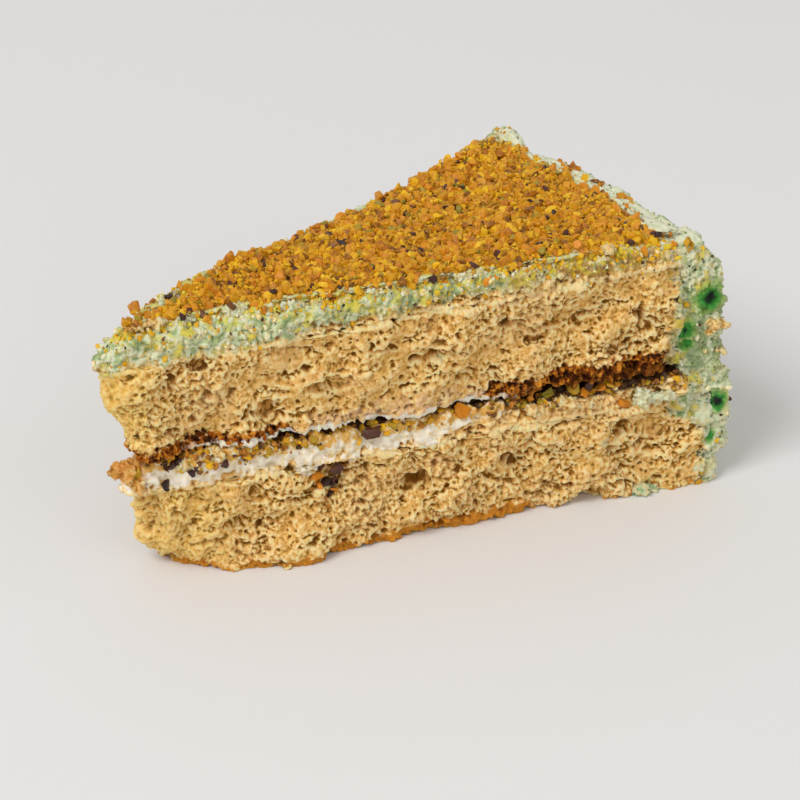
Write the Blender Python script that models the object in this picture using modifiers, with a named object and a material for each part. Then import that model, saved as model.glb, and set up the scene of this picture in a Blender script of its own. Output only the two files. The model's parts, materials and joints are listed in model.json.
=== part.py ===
"""A slice of two-layer pistachio tres leches cake, standing on its base.

Metres, +Z up. The slice's middle line runs along X: its point is at -X and its iced outer side at +X.
The origin is under the middle of the slice, on the surface that it stands on. The cut face towards -Y is
called the near face. Each layer starts as an oversize block, is roughened all over like torn crumb, and is
then trimmed back to the flat planes where it meets its neighbours.
"""

import math
import random

import bmesh
import bpy
from mathutils import Matrix, Vector

MM = 0.001

# The cut of the slice. It missed the cake's centre a little, so the near face is the longer one
CAKE_RADIUS = 141.5 * MM
RIM_SKEW = 2.8 * MM
RIM_STEPS = 18
SLICE_ANGLE = math.radians(30.7)
HALF_ANGLE = SLICE_ANGLE / 2
APEX_X = -72.2 * MM
TIP_START = 2.0 * MM
TIP_RADIUS = 3.0 * MM
TIP_STEPS = 8

# The clear gap between neighbours, and how far a block reaches past the planes that it is trimmed to
GAP = 0.3 * MM
OVERSIZE = 5 * MM
TRIM_MARGIN = 8 * MM

# Heights of the planes between the layers, each as (height at mid length, rise per metre of length)
GROUND = (0.0, 0.0)
UNDERGROUND = (-3 * OVERSIZE, 0.0)
LOWER_SPONGE_TOP = (22.5 * MM, 0.010)
FILLING_SHELF = (28.8 * MM, -0.008)
UPPER_SPONGE_BASE = (30.6 * MM, 0.000)
UPPER_SPONGE_TOP = (54.6 * MM, 0.028)
ICING_TOP = (60.6 * MM, 0.000)

# The filling: how far in the crack over it runs, and where its full-height core and its own tip start
CRACK_DEPTH = 6.5 * MM
CORE_TIP_START = 20 * MM
FILLING_TIP_START = 5 * MM
FILLING_NUT_DROP = 1.9 * MM
FILLING_NUT_STEP = (4.5 * MM, 8.0 * MM)
FILLING_NUT_SINK = (0.2 * MM, 4.0 * MM)
FILLING_NUT_SIZE = (2.2 * MM, 3.4 * MM)

# Icing round the outer side, thicker against the upper sponge
LOWER_SPONGE_RADIUS = CAKE_RADIUS - 4.0 * MM
UPPER_SPONGE_RADIUS = CAKE_RADIUS - 9.5 * MM
RIM_ROUNDING = 3.5 * MM
TIP_SLOPE_START = 8.5 * MM
TIP_SLOPE_NORMAL = Vector((-0.5, 0.0, 0.87))
WORN_CORNER_NORMAL = Vector((0.5, -0.4, 0.77))
WORN_CORNER_DEPTH = 4.5 * MM

# The bed of crushed nuts on top, and the larger pieces fused on it
BED_RADIUS = CAKE_RADIUS - 7.0 * MM
BED_THICKNESS = 1.3 * MM
BED_INSET = 0.8 * MM
BED_TIP_START = 7.0 * MM
BED_NEAR_EXTENT = 30.0 * MM
BED_NUT_REACH = (18 * MM, 127 * MM)
BED_NUT_RINGS = 10
BED_NUT_SPACING = 9 * MM
BED_NUT_SPREAD = 0.9
BED_NUT_SIZE = (2.2 * MM, 3.8 * MM)

# The broken tip of the lower sponge, a plane through three points, and the lean of the upper sponge's tip
BREAK_NEAR = Vector((APEX_X + 31.0 * MM, -12.4 * MM, 0.0))
BREAK_FAR = Vector((APEX_X + 14.5 * MM, 7.1 * MM, 0.0))
BREAK_TOP = Vector((APEX_X + 4.0 * MM, 0.0, 23.0 * MM))
UPPER_TIP_LEAN = 7.5 * MM

# Lumps and hollows on the two cut faces, in mm: distance from the point, height, distance out of the face,
# then the half lengths along it, into it and upwards
NEAR, FAR = -1, 1
LOWER_LUMPS = [(NEAR, 42, 2, 0, (14, 4.5, 8))]
LOWER_HOLLOWS = [
    (NEAR, 108, -1, 2, (11, 8, 5)),
    (NEAR, 70, 12.5, 1, (4.5, 4.5, 2)),
    (FAR, 84, 14.5, 1, (5.0, 4.0, 2.4)),
    (FAR, 46, 9.0, 1, (4.0, 4.0, 3.0)),
]
UPPER_HOLLOWS = [
    (NEAR, 50, 41.0, 1, (4.0, 4.5, 1.8)),
    (NEAR, 36, 36.0, 1, (2.4, 3.5, 2.4)),
    (NEAR, 124, 44.0, 1, (1.6, 4.5, 4.0)),
    (NEAR, 97, 44.5, 1.5, (4.5, 3.0, 2.2)),
    (FAR, 60, 46.0, 1, (4.0, 3.5, 2.2)),
    (FAR, 104, 42.6, 1, (2.6, 4.0, 4.4)),
]

# The flake of crust that curls out at the tip of the filling, and the lip of icing that stands up at the
# far end of the rim: each its middle and its half lengths
TIP_FLAKE = (Vector((APEX_X + 4.5 * MM, 3.5 * MM, 26.5 * MM)), Vector((4.0, 2.2, 2.4)) * MM)
RIM_LIP = (Vector((APEX_X + 131.0 * MM, 33.5 * MM, 59.5 * MM)), Vector((4.5, 5.0, 4.2)) * MM)

# The grain of each surface: the voxel it is built with, and the share of its faces that is kept
SPONGE_GRAIN = (1.6 * MM, 0.185)
CREAM_GRAIN = (1.0 * MM, 0.042)
ICING_GRAIN = (1.5 * MM, 0.11)
BED_GRAIN = (0.9 * MM, 0.06)
SLIVER = 0.01 * MM

SPONGE_COLOUR = (0.80, 0.60, 0.30)
CREAM_COLOUR = (0.86, 0.80, 0.69)
ICING_COLOUR = (0.60, 0.74, 0.52)
NUT_COLOUR = (0.62, 0.36, 0.03)

SEED = 11


def clear_scene():
    for obj in list(bpy.data.objects):
        bpy.data.objects.remove(obj, do_unlink=True)


def new_collection(name, shown=True):
    collection = bpy.data.collections.new(name)
    collection.hide_render = not shown
    bpy.context.scene.collection.children.link(collection)
    return collection


def material(name, colour, roughness):
    made = bpy.data.materials.new(name)
    made.use_nodes = True
    shader = made.node_tree.nodes["Principled BSDF"]
    shader.inputs["Base Color"].default_value = (*colour, 1.0)
    shader.inputs["Roughness"].default_value = roughness
    return made


def plane_height(plane, x):
    """Height of a tilted plane, (height at mid length, rise), at a place along the slice."""
    return plane[0] + plane[1] * x


def raised(plane, by):
    return (plane[0] + by, plane[1])


def between(start, end, steps):
    return [start + (end - start) * i / steps for i in range(steps + 1)]


def polar(reach, angle, centre=APEX_X):
    """A point in plan, so far from a centre on the middle line, at this angle from it."""
    return Vector((centre + reach * math.cos(angle), reach * math.sin(angle)))


def slice_outline(radius, widen=0.0, tip_start=TIP_START):
    """Plan of the slice, counterclockwise: the outer arc and a blunt tip. Widen moves the cut faces out."""
    half_angle = HALF_ANGLE + math.asin(widen / radius)
    rim = [
        polar(radius - RIM_SKEW * angle / half_angle, angle)
        for angle in between(-half_angle, half_angle, RIM_STEPS)
    ]
    tip_radius = max(TIP_RADIUS + widen, TIP_RADIUS / 2)
    tip_angles = between(math.pi / 2 + HALF_ANGLE, 3 * math.pi / 2 - HALF_ANGLE, TIP_STEPS)
    tip_centre = APEX_X + tip_start + TIP_RADIUS
    return rim + [polar(tip_radius, angle, tip_centre) for angle in tip_angles]


def prism(name, outline, base, top, collection):
    """A closed block with this outline between two planes, from a filled 2D curve."""
    curve = bpy.data.curves.new(name, "CURVE")
    curve.dimensions = "2D"
    curve.fill_mode = "BOTH"
    curve.extrude = 0.5
    spline = curve.splines.new("POLY")
    spline.points.add(len(outline) - 1)
    for point, place in zip(spline.points, outline):
        point.co = (*place, 0.0, 1.0)
    spline.use_cyclic_u = True
    guide = bpy.data.objects.new(name, curve)
    bpy.context.scene.collection.objects.link(guide)
    bpy.context.view_layer.update()
    graph = bpy.context.evaluated_depsgraph_get()
    mesh = bpy.data.meshes.new_from_object(guide.evaluated_get(graph))
    bpy.data.objects.remove(guide)
    shape = bmesh.new()
    shape.from_mesh(mesh)
    bmesh.ops.remove_doubles(shape, verts=shape.verts, dist=SLIVER)
    bmesh.ops.recalc_face_normals(shape, faces=shape.faces)
    for vert in shape.verts:
        vert.co.z = plane_height(top if vert.co.z > 0 else base, vert.co.x)
    shape.to_mesh(mesh)
    shape.free()
    block = bpy.data.objects.new(name, mesh)
    collection.objects.link(block)
    return block


def blob(name, place, size, collection, turn=0.0):
    """An egg-shaped lump, its half lengths in size, turned about Z."""
    shape = bmesh.new()
    bmesh.ops.create_icosphere(shape, subdivisions=3, radius=1.0)
    shape.transform(Matrix.Rotation(turn, 4, "Z") @ Matrix.Diagonal((*size, 1.0)))
    mesh = bpy.data.meshes.new(name)
    shape.to_mesh(mesh)
    shape.free()
    made = bpy.data.objects.new(name, mesh)
    made.location = place
    collection.objects.link(made)
    return made


def on_face(side, along, height, out=0.0):
    """A point on a cut face: so far from the virtual point, at this height, and so far out of the face."""
    direction = Vector((math.cos(HALF_ANGLE), side * math.sin(HALF_ANGLE), 0.0))
    normal = Vector((-math.sin(HALF_ANGLE), side * math.cos(HALF_ANGLE), 0.0))
    return Vector((APEX_X, 0.0, height)) + direction * along + normal * out


def boolean(obj, operation, other, rough=False):
    """A Boolean modifier. On a roughened skin that crosses itself only MANIFOLD works."""
    modifier = obj.modifiers.new(operation.title(), "BOOLEAN")
    modifier.operation = operation
    modifier.solver = "MANIFOLD" if rough else "EXACT"
    if isinstance(other, bpy.types.Collection):
        modifier.operand_type = "COLLECTION"
        modifier.collection = other
    else:
        modifier.object = other


def remesh(obj, voxel):
    modifier = obj.modifiers.new("Remesh", "REMESH")
    modifier.mode = "VOXEL"
    modifier.voxel_size = voxel


def roughen(obj, name, size, depth, middle=0.5, basis="BLENDER_ORIGINAL"):
    """Moves the surface out and in by a cloud texture of this grain size and total depth."""
    texture = bpy.data.textures.new(name, "CLOUDS")
    texture.noise_basis = basis
    texture.noise_scale = size
    texture.noise_depth = 0
    modifier = obj.modifiers.new(name, "DISPLACE")
    modifier.texture = texture
    modifier.texture_coords = "GLOBAL"
    modifier.strength = depth
    modifier.mid_level = middle


def thin_out(obj, grain):
    """Clears the roughened skin of places where it crosses itself, and keeps a share of its faces."""
    voxel, share = grain
    remesh(obj, voxel)
    modifier = obj.modifiers.new("Decimate", "DECIMATE")
    modifier.ratio = share


def largest_shell(shape):
    """The vertices of the connected shell that has most of them."""
    left = set(shape.verts)
    best = set()
    while left:
        found = set()
        stack = [next(iter(left))]
        while stack:
            vert = stack.pop()
            if vert in found:
                continue
            found.add(vert)
            stack += [edge.other_vert(vert) for edge in vert.link_edges]
        left -= found
        if len(found) > len(best):
            best = found
    return best


def apply_modifiers(obj):
    """Fixes the modifiers in the mesh, keeps its largest shell and drops the loose scraps."""
    bpy.context.view_layer.update()
    graph = bpy.context.evaluated_depsgraph_get()
    mesh = bpy.data.meshes.new_from_object(obj.evaluated_get(graph))
    obj.modifiers.clear()
    obj.data = mesh
    shape = bmesh.new()
    shape.from_mesh(mesh)
    keep = largest_shell(shape)
    scraps = [vert for vert in shape.verts if vert not in keep]
    bmesh.ops.delete(shape, geom=scraps, context="VERTS")
    bmesh.ops.dissolve_degenerate(shape, edges=shape.edges, dist=SLIVER)
    bmesh.ops.triangulate(shape, faces=shape.faces)
    shape.to_mesh(mesh)
    shape.free()


def cut_away(obj, place, normal):
    """Cuts the block along a plane, removes what lies on the side of the normal, and closes the cut."""
    shape = bmesh.new()
    shape.from_mesh(obj.data)
    geometry = shape.verts[:] + shape.edges[:] + shape.faces[:]
    bmesh.ops.bisect_plane(shape, geom=geometry, plane_co=place, plane_no=normal, clear_outer=True)
    bmesh.ops.holes_fill(shape, edges=shape.edges, sides=0)
    bmesh.ops.recalc_face_normals(shape, faces=shape.faces)
    shape.to_mesh(obj.data)
    shape.free()


def blobs(parent, name, places):
    """A collection of lumps or hollows, each given as (place, half lengths), for one Boolean."""
    collection = bpy.data.collections.new(name)
    parent.children.link(collection)
    for number, (place, size) in enumerate(places):
        side = NEAR if place.y < 0 else FAR
        blob(f"{name}_{number}", place, size, collection, turn=side * HALF_ANGLE)
    return collection


def face_blobs(parent, name, marks):
    """The lumps or hollows of a cut face, from the lists above."""
    places = [
        (on_face(side, along * MM, height * MM, out * MM), Vector(size) * MM)
        for side, along, height, out, size in marks
    ]
    return blobs(parent, name, places)


def torn_crumb(obj, prefix):
    """Relief of torn sponge: broad crags, crumbs, and pits where bubbles opened."""
    roughen(obj, prefix + "_crags", size=13 * MM, depth=5.0 * MM)
    roughen(obj, prefix + "_crumbs", size=4.5 * MM, depth=3.4 * MM)
    roughen(obj, prefix + "_pits", size=5.0 * MM, depth=2.2 * MM, middle=0.6, basis="VORONOI_F1")


def sponge_layer(name, radius, base, top, break_plane, lumps, hollows, cutters):
    """A sponge block with torn faces, flat where it meets the layers above and below and the icing."""
    block = prism(
        name,
        slice_outline(radius + OVERSIZE),
        raised(base, -OVERSIZE),
        raised(top, OVERSIZE),
        bpy.context.scene.collection,
    )
    cut_away(block, *break_plane)
    if lumps:
        boolean(block, "UNION", face_blobs(cutters, name + "_lumps", lumps))
    boolean(block, "DIFFERENCE", face_blobs(cutters, name + "_hollows", hollows))
    remesh(block, SPONGE_GRAIN[0])
    torn_crumb(block, name)
    thin_out(block, SPONGE_GRAIN)
    trim = prism(
        name + "_trim",
        slice_outline(radius - GAP, widen=TRIM_MARGIN),
        base,
        raised(top, -GAP),
        cutters,
    )
    boolean(block, "INTERSECT", trim, rough=True)
    apply_modifiers(block)
    return block


def make_lower_sponge(cutters):
    """Its point is broken off along a slanted plane, so the base is set back under the layers above."""
    outward = (BREAK_FAR - BREAK_TOP).cross(BREAK_NEAR - BREAK_TOP)
    return sponge_layer(
        "lower_sponge",
        LOWER_SPONGE_RADIUS,
        GROUND,
        LOWER_SPONGE_TOP,
        (BREAK_TOP, outward),
        LOWER_LUMPS,
        LOWER_HOLLOWS,
        cutters,
    )


def make_upper_sponge(cutters):
    """Its point leans out upwards."""
    tip_bottom = Vector((APEX_X + UPPER_TIP_LEAN, 0.0, UPPER_SPONGE_BASE[0]))
    tip_top = Vector((APEX_X, 0.0, UPPER_SPONGE_TOP[0]))
    lean = tip_top - tip_bottom
    outward = Vector((-lean.z, 0.0, lean.x))
    return sponge_layer(
        "upper_sponge",
        UPPER_SPONGE_RADIUS,
        raised(UPPER_SPONGE_BASE, GAP),
        UPPER_SPONGE_TOP,
        (tip_bottom, outward),
        None,
        UPPER_HOLLOWS,
        cutters,
    )


def nut_pieces(name, places, sizes, floor, rng, parent):
    """Chopped nuts as low-sided irregular pieces that end at the floor's height, for one Boolean union."""
    collection = bpy.data.collections.new(name)
    parent.children.link(collection)
    for number, place in enumerate(places):
        shape = bmesh.new()
        bmesh.ops.create_icosphere(shape, subdivisions=1, radius=rng.uniform(*sizes) / 2)
        for vert in shape.verts:
            vert.co *= rng.uniform(0.75, 1.2)
        stretch = Matrix.Diagonal((rng.uniform(0.8, 1.4), 1.0, rng.uniform(0.6, 0.9), 1.0))
        turn = Matrix.Rotation(rng.uniform(0, math.tau), 4, "Z")
        shape.transform(turn @ stretch)
        for vert in shape.verts:
            vert.co.z = max(vert.co.z, floor - place.z)
        mesh = bpy.data.meshes.new(f"{name}_{number}")
        shape.to_mesh(mesh)
        shape.free()
        piece = bpy.data.objects.new(f"{name}_{number}", mesh)
        piece.location = place
        collection.objects.link(piece)
    return collection


def fuse(obj, collection):
    """Joins a collection's pieces to an object by one Boolean union, and removes them."""
    boolean(obj, "UNION", collection, rough=True)
    apply_modifiers(obj)
    for piece in list(collection.objects):
        bpy.data.objects.remove(piece, do_unlink=True)


def filling_nut_places(rng):
    """Points along both cuts, just under the crack, at uneven steps and depths."""
    height = UPPER_SPONGE_BASE[0] - FILLING_NUT_DROP
    places = []
    for side in (NEAR, FAR):
        along = 2 * FILLING_TIP_START
        while along < UPPER_SPONGE_RADIUS - OVERSIZE:
            places.append(on_face(side, along, height, -rng.uniform(*FILLING_NUT_SINK)))
            along += rng.uniform(*FILLING_NUT_STEP)
    return places


def make_filling(cutters, rng):
    """Whipped cream between the sponges. The upper sponge has lifted off it along both cuts, baring nuts."""
    base = raised(LOWER_SPONGE_TOP, GAP)
    block = prism(
        "cream_filling",
        slice_outline(UPPER_SPONGE_RADIUS + OVERSIZE, tip_start=FILLING_TIP_START),
        raised(base, -OVERSIZE),
        FILLING_SHELF,
        bpy.context.scene.collection,
    )
    core = prism(
        "filling_core",
        slice_outline(UPPER_SPONGE_RADIUS + OVERSIZE, widen=-CRACK_DEPTH, tip_start=CORE_TIP_START),
        raised(base, GAP),
        raised(UPPER_SPONGE_BASE, OVERSIZE),
        cutters,
    )
    boolean(block, "UNION", core)
    boolean(block, "UNION", blobs(cutters, "filling_lumps", [TIP_FLAKE]))
    remesh(block, CREAM_GRAIN[0])
    roughen(block, "cream_folds", size=9 * MM, depth=2.6 * MM)
    roughen(block, "cream_peaks", size=3 * MM, depth=1.2 * MM)
    thin_out(block, CREAM_GRAIN)
    trim = prism(
        "filling_trim",
        slice_outline(UPPER_SPONGE_RADIUS - GAP, widen=TRIM_MARGIN),
        base,
        UPPER_SPONGE_BASE,
        cutters,
    )
    boolean(block, "INTERSECT", trim, rough=True)
    apply_modifiers(block)
    floor = LOWER_SPONGE_TOP[0] + FILLING_NUT_SIZE[0]
    nuts = nut_pieces("filling_nuts", filling_nut_places(rng), FILLING_NUT_SIZE, floor, rng, cutters)
    fuse(block, nuts)
    return block


def round_rim(block):
    """Rounds the edge between the top and the outer side."""
    shape = bmesh.new()
    shape.from_mesh(block.data)
    bmesh.ops.dissolve_limit(
        shape, angle_limit=math.radians(0.5), verts=shape.verts, edges=shape.edges
    )
    on_rim = {
        vert
        for vert in shape.verts
        if vert.co.z > ICING_TOP[0] - GAP
        and math.hypot(vert.co.x - APEX_X, vert.co.y) > CAKE_RADIUS - 2 * RIM_SKEW
    }
    edges = [edge for edge in shape.edges if set(edge.verts) <= on_rim]
    bmesh.ops.bevel(
        shape, geom=edges, offset=RIM_ROUNDING, segments=3, profile=0.5, affect="EDGES"
    )
    shape.to_mesh(block.data)
    shape.free()


def make_icing(cutters):
    """Green cream over the top and down the outer side, one coat with a rounded rim and worn corners."""
    block = prism(
        "pistachio_icing",
        slice_outline(CAKE_RADIUS),
        raised(GROUND, -OVERSIZE),
        ICING_TOP,
        bpy.context.scene.collection,
    )
    round_rim(block)
    near_corner = Vector((*polar(CAKE_RADIUS + RIM_SKEW, -HALF_ANGLE), ICING_TOP[0]))
    cut_away(block, near_corner - WORN_CORNER_DEPTH * WORN_CORNER_NORMAL, WORN_CORNER_NORMAL)
    cut_away(block, Vector((APEX_X + TIP_SLOPE_START, 0.0, ICING_TOP[0])), TIP_SLOPE_NORMAL)
    boolean(block, "UNION", blobs(cutters, "icing_lip", [RIM_LIP]))
    remesh(block, ICING_GRAIN[0])
    roughen(block, "icing_sweeps", size=18 * MM, depth=3.0 * MM, middle=0.6)
    roughen(block, "icing_crumbs", size=4 * MM, depth=2.0 * MM)
    thin_out(block, ICING_GRAIN)
    wide = 1.5 * TRIM_MARGIN
    cuts = (
        ("lower_inside", LOWER_SPONGE_RADIUS, UNDERGROUND, LOWER_SPONGE_TOP),
        ("upper_inside", UPPER_SPONGE_RADIUS, UNDERGROUND, UPPER_SPONGE_TOP),
        ("bed_seat", BED_RADIUS + 1.5 * MM, ICING_TOP, raised(ICING_TOP, 3 * OVERSIZE)),
        ("icing_ground", CAKE_RADIUS + 3 * OVERSIZE, raised(UNDERGROUND, -OVERSIZE), GROUND),
    )
    for name, radius, base, top in cuts:
        cutter = prism(name, slice_outline(radius, widen=wide), base, top, cutters)
        boolean(block, "DIFFERENCE", cutter, rough=True)
    apply_modifiers(block)
    return block


def bed_nut_places(height, rng):
    """Points spread over the top in rings about the cake's centre, each a little out of line."""
    places = []
    for distance in between(*BED_NUT_REACH, BED_NUT_RINGS - 1):
        count = 1 + round(distance * SLICE_ANGLE / BED_NUT_SPACING)
        for step in range(count):
            share = 2 * (step + rng.uniform(0.1, 0.9)) / count - 1
            reach = distance + rng.uniform(-6, 4) * MM
            places.append(Vector((*polar(reach, HALF_ANGLE * BED_NUT_SPREAD * share), height)))
    return places


def make_nut_bed(cutters, rng):
    """Crushed pistachios: a bed with bumps of the crumbs' size, and the larger pieces fused on.

    It leaves the rim and the worn corner bare.
    """
    base = raised(ICING_TOP, GAP)
    block = prism(
        "crushed_nuts",
        slice_outline(BED_RADIUS, widen=-BED_INSET, tip_start=BED_TIP_START),
        raised(base, -2 * MM),
        raised(base, BED_THICKNESS),
        bpy.context.scene.collection,
    )
    cut_away(block, Vector((0.0, -BED_NEAR_EXTENT, base[0])), Vector((0.0, -1.0, 0.0)))
    remesh(block, BED_GRAIN[0])
    roughen(block, "bed_drifts", size=12 * MM, depth=1.0 * MM)
    roughen(block, "bed_crumbs", size=3.2 * MM, depth=2.2 * MM)
    thin_out(block, BED_GRAIN)
    trim = prism(
        "bed_trim",
        slice_outline(BED_RADIUS + 1.0 * MM, widen=TRIM_MARGIN),
        base,
        raised(base, 3 * OVERSIZE),
        cutters,
    )
    boolean(block, "INTERSECT", trim, rough=True)
    apply_modifiers(block)
    places = bed_nut_places(base[0] + 0.8 * BED_THICKNESS, rng)
    fuse(block, nut_pieces("bed_nuts", places, BED_NUT_SIZE, base[0] + GAP, rng, cutters))
    return block


def main():
    clear_scene()
    rng = random.Random(SEED)
    parts = new_collection("pistachio_cake_slice")
    cutters = new_collection("cutters", shown=False)
    sponge = material("sponge", SPONGE_COLOUR, 0.85)
    finishes = (
        (make_lower_sponge(cutters), sponge),
        (make_filling(cutters, rng), material("cream", CREAM_COLOUR, 0.45)),
        (make_upper_sponge(cutters), sponge),
        (make_icing(cutters), material("icing", ICING_COLOUR, 0.55)),
        (make_nut_bed(cutters, rng), material("nuts", NUT_COLOUR, 0.6)),
    )
    for obj, finish in finishes:
        obj.data.materials.clear()
        obj.data.materials.append(finish)
        bpy.context.scene.collection.objects.unlink(obj)
        parts.objects.link(obj)
    for helper in cutters.all_objects:
        helper.hide_render = True
        helper.display_type = "WIRE"


main()
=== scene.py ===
"""Looks of a slice of pistachio tres leches cake: torn sponge, whipped cream, green icing, crushed nuts.

Metres, +Z up. The slice's middle line runs along X: its point is at -X and its iced outer side at +X. The
cut towards -Y is the near one. A place on a cut is given in millimetres as along, from the point of the
slice, height, over the ground, and out, how far it stands out of the cut.
"""

import json
import math
import random

import bpy
from bpy.props import FloatProperty, FloatVectorProperty, IntProperty, PointerProperty
from mathutils import Euler, Matrix, Vector

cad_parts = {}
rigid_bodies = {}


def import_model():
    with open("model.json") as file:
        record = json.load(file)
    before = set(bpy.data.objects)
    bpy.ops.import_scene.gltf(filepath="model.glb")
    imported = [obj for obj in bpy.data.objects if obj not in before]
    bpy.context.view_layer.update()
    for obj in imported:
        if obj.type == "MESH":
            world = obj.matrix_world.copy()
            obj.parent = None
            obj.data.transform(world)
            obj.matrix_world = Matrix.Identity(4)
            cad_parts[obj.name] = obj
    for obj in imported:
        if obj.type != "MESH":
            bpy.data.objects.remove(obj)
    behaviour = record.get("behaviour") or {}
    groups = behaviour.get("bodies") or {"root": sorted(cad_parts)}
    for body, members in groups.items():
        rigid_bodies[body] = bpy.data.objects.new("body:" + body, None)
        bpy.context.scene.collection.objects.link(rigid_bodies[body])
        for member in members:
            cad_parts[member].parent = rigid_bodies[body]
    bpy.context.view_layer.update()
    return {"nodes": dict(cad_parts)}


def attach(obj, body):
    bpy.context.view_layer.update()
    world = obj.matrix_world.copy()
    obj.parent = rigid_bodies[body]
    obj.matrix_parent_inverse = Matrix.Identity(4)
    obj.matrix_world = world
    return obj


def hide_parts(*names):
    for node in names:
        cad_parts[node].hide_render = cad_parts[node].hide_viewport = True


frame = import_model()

bl_info = {
    "name": "Pistachio cake slice",
    "version": (1, 0, 0),
    "blender": (4, 5, 0),
    "location": "3D View > Sidebar > Cake",
    "description": "Dresses the solids of a cake slice with torn sponge, cream, icing and crushed nuts",
    "category": "Object",
}

MM = 0.001

# The cut of the slice, as in its solids
APEX_X = -72.2 * MM
HALF_ANGLE = math.radians(15.35)
NEAR, FAR = -1, 1

# Where the layers meet: each seam's height at the origin, and how much it climbs for each metre along X
LOWER_SEAM = (22.65 * MM, 0.010)
UPPER_SEAM = (54.75 * MM, 0.028)

# Heights over the ground
UPPER_SPONGE_BASE = 30.6 * MM
ICING_TOP = 60.6 * MM

# How the skins are made: how close points are merged, how far a skin stands off its solid, the grain of
# the lumps, over how many steps from point to point a hollow is felt, and how deep one is that counts as 1
MERGE = 0.001 * MM
STAND_OFF = 0.25 * MM
LUMP_VOXEL = 0.32 * MM
HOLLOW_STEPS = 8
HOLLOW_DEPTH = 0.34 * MM

# How far out of a cut the sponge's tearing begins and is full, and the same for the other layers' faces.
# The outer face's distances are from the middle of the cake.
TORN_DEPTH = (-9.0 * MM, -7.0 * MM)
CUT_FACE = (-2.5 * MM, -1.0 * MM)
OUTER_FACE = (134 * MM, 137 * MM)

# How far apart the two cuts lie on a map of both
SIDES_APART = 1.0

# How the food takes light: how far light travels in it, in which tint, and how high its finest bumps are
GLOW_REACH = 1.5 * MM
GLOW_TINT = (1.0, 0.55, 0.25)
BUMP_HEIGHT = 0.9 * MM

# Loose pieces: how many shapes each kind has, the radius that each starts with, between which distances
# from its middle, in millimetres, it is split, and how many square centimetres make a square metre
CHIP_SHAPES = 7
CHIP_RADIUS = 0.55 * MM
SPLIT_DEPTHS = (0.14, 0.34)
PER_SQUARE_CENTIMETRE = 10_000

# Pockets torn in the cuts: side, along, height, half length, half height and depth
POCKETS = [
    (NEAR, 50.6, 41.3, 4.4, 1.7, 3.6),
    (NEAR, 37.0, 37.4, 2.0, 2.0, 2.4),
    (NEAR, 25.4, 43.6, 1.4, 0.8, 1.2),
    (NEAR, 47.8, 34.8, 1.3, 1.2, 1.4),
    (NEAR, 75.5, 43.8, 4.6, 1.2, 2.0),
    (NEAR, 93.6, 48.6, 3.4, 1.0, 1.8),
    (NEAR, 100.4, 46.2, 4.6, 1.0, 2.0),
    (NEAR, 124.6, 45.0, 0.9, 3.4, 3.0),
    (NEAR, 121.6, 39.0, 0.8, 1.6, 1.4),
    (NEAR, 72.9, 13.4, 4.8, 1.8, 2.8),
    (NEAR, 81.8, 21.4, 1.8, 1.0, 1.6),
    (NEAR, 97.5, 17.8, 2.2, 0.8, 1.6),
    (NEAR, 128.7, 10.6, 2.2, 1.1, 1.8),
    (NEAR, 121.2, 7.4, 2.0, 0.9, 1.4),
    (NEAR, 113.6, 2.4, 3.6, 2.0, 2.2),
    (FAR, 44.0, 40.0, 3.6, 1.5, 2.6),
    (FAR, 88.0, 45.0, 4.4, 1.2, 2.0),
    (FAR, 112.0, 38.0, 1.8, 2.2, 2.2),
    (FAR, 60.0, 12.0, 4.2, 1.5, 2.2),
    (FAR, 100.0, 15.0, 3.0, 1.1, 1.8),
]

# The sponge's bubbles: how far apart they are in millimetres, where their edge begins, the share of them
# that is open, and how deep they are
PORES = [
    (4.4, 0.30, 0.12, 1.7),
    (2.3, 0.40, 0.20, 1.2),
    (1.3, 0.45, 0.28, 0.9),
]

# Where the soft slice sags or swells: the middle in X, Y and Z, how far it reaches along each of them, and
# the move at the middle, all in millimetres
PULLS = [
    ((69.0, -37.0, 20.0), (22.0, 22.0, 24.0), (4.2, -0.9, 0.0)),
    ((70.0, 6.0, 62.0), (16.0, 34.0, 16.0), (-2.4, 0.0, 0.0)),
    ((-71.0, 0.0, 50.0), (12.0, 12.0, 12.0), (-2.0, 0.0, 0.0)),
    ((-69.0, 0.0, 34.0), (14.0, 14.0, 10.0), (2.2, 0.0, 0.0)),
    ((-69.5, 0.0, 26.5), (6.0, 8.0, 5.0), (1.8, 0.0, 0.0)),
    ((-65.0, 0.0, 15.0), (14.0, 14.0, 15.0), (2.6, 0.0, 0.0)),
    ((-37.0, 9.0, 63.0), (29.0, 14.0, 11.0), (0.0, 0.0, 2.4)),
    ((48.0, 31.0, 63.0), (22.0, 14.0, 11.0), (0.0, 0.0, 1.8)),
    ((68.0, -17.0, 62.0), (15.0, 17.0, 13.0), (-2.2, 0.0, -1.2)),
]

# Spots of gel colour on a cut, side, along and height, and on the outer side, across and height, each with
# the radii of its core and its halo
CUT_SPOTS = [
    (NEAR, 140.6, 47.4, 1.5, 4.8),
    (NEAR, 135.2, 39.6, 0.7, 3.8),
    (NEAR, 136.4, 35.8, 0.1, 2.2),
    (NEAR, 144.4, 20.3, 1.2, 3.6),
    (NEAR, 138.8, 17.4, 0.2, 2.4),
    (NEAR, 142.4, 12.0, 0.1, 2.2),
    (FAR, 139.0, 25.0, 0.7, 2.8),
]
SIDE_SPOTS = [
    (-15.0, 47.0, 0.9, 3.2),
    (10.0, 42.0, 0.8, 3.4),
    (24.0, 24.0, 0.7, 2.8),
    (-6.0, 19.0, 0.4, 2.2),
]

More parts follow.
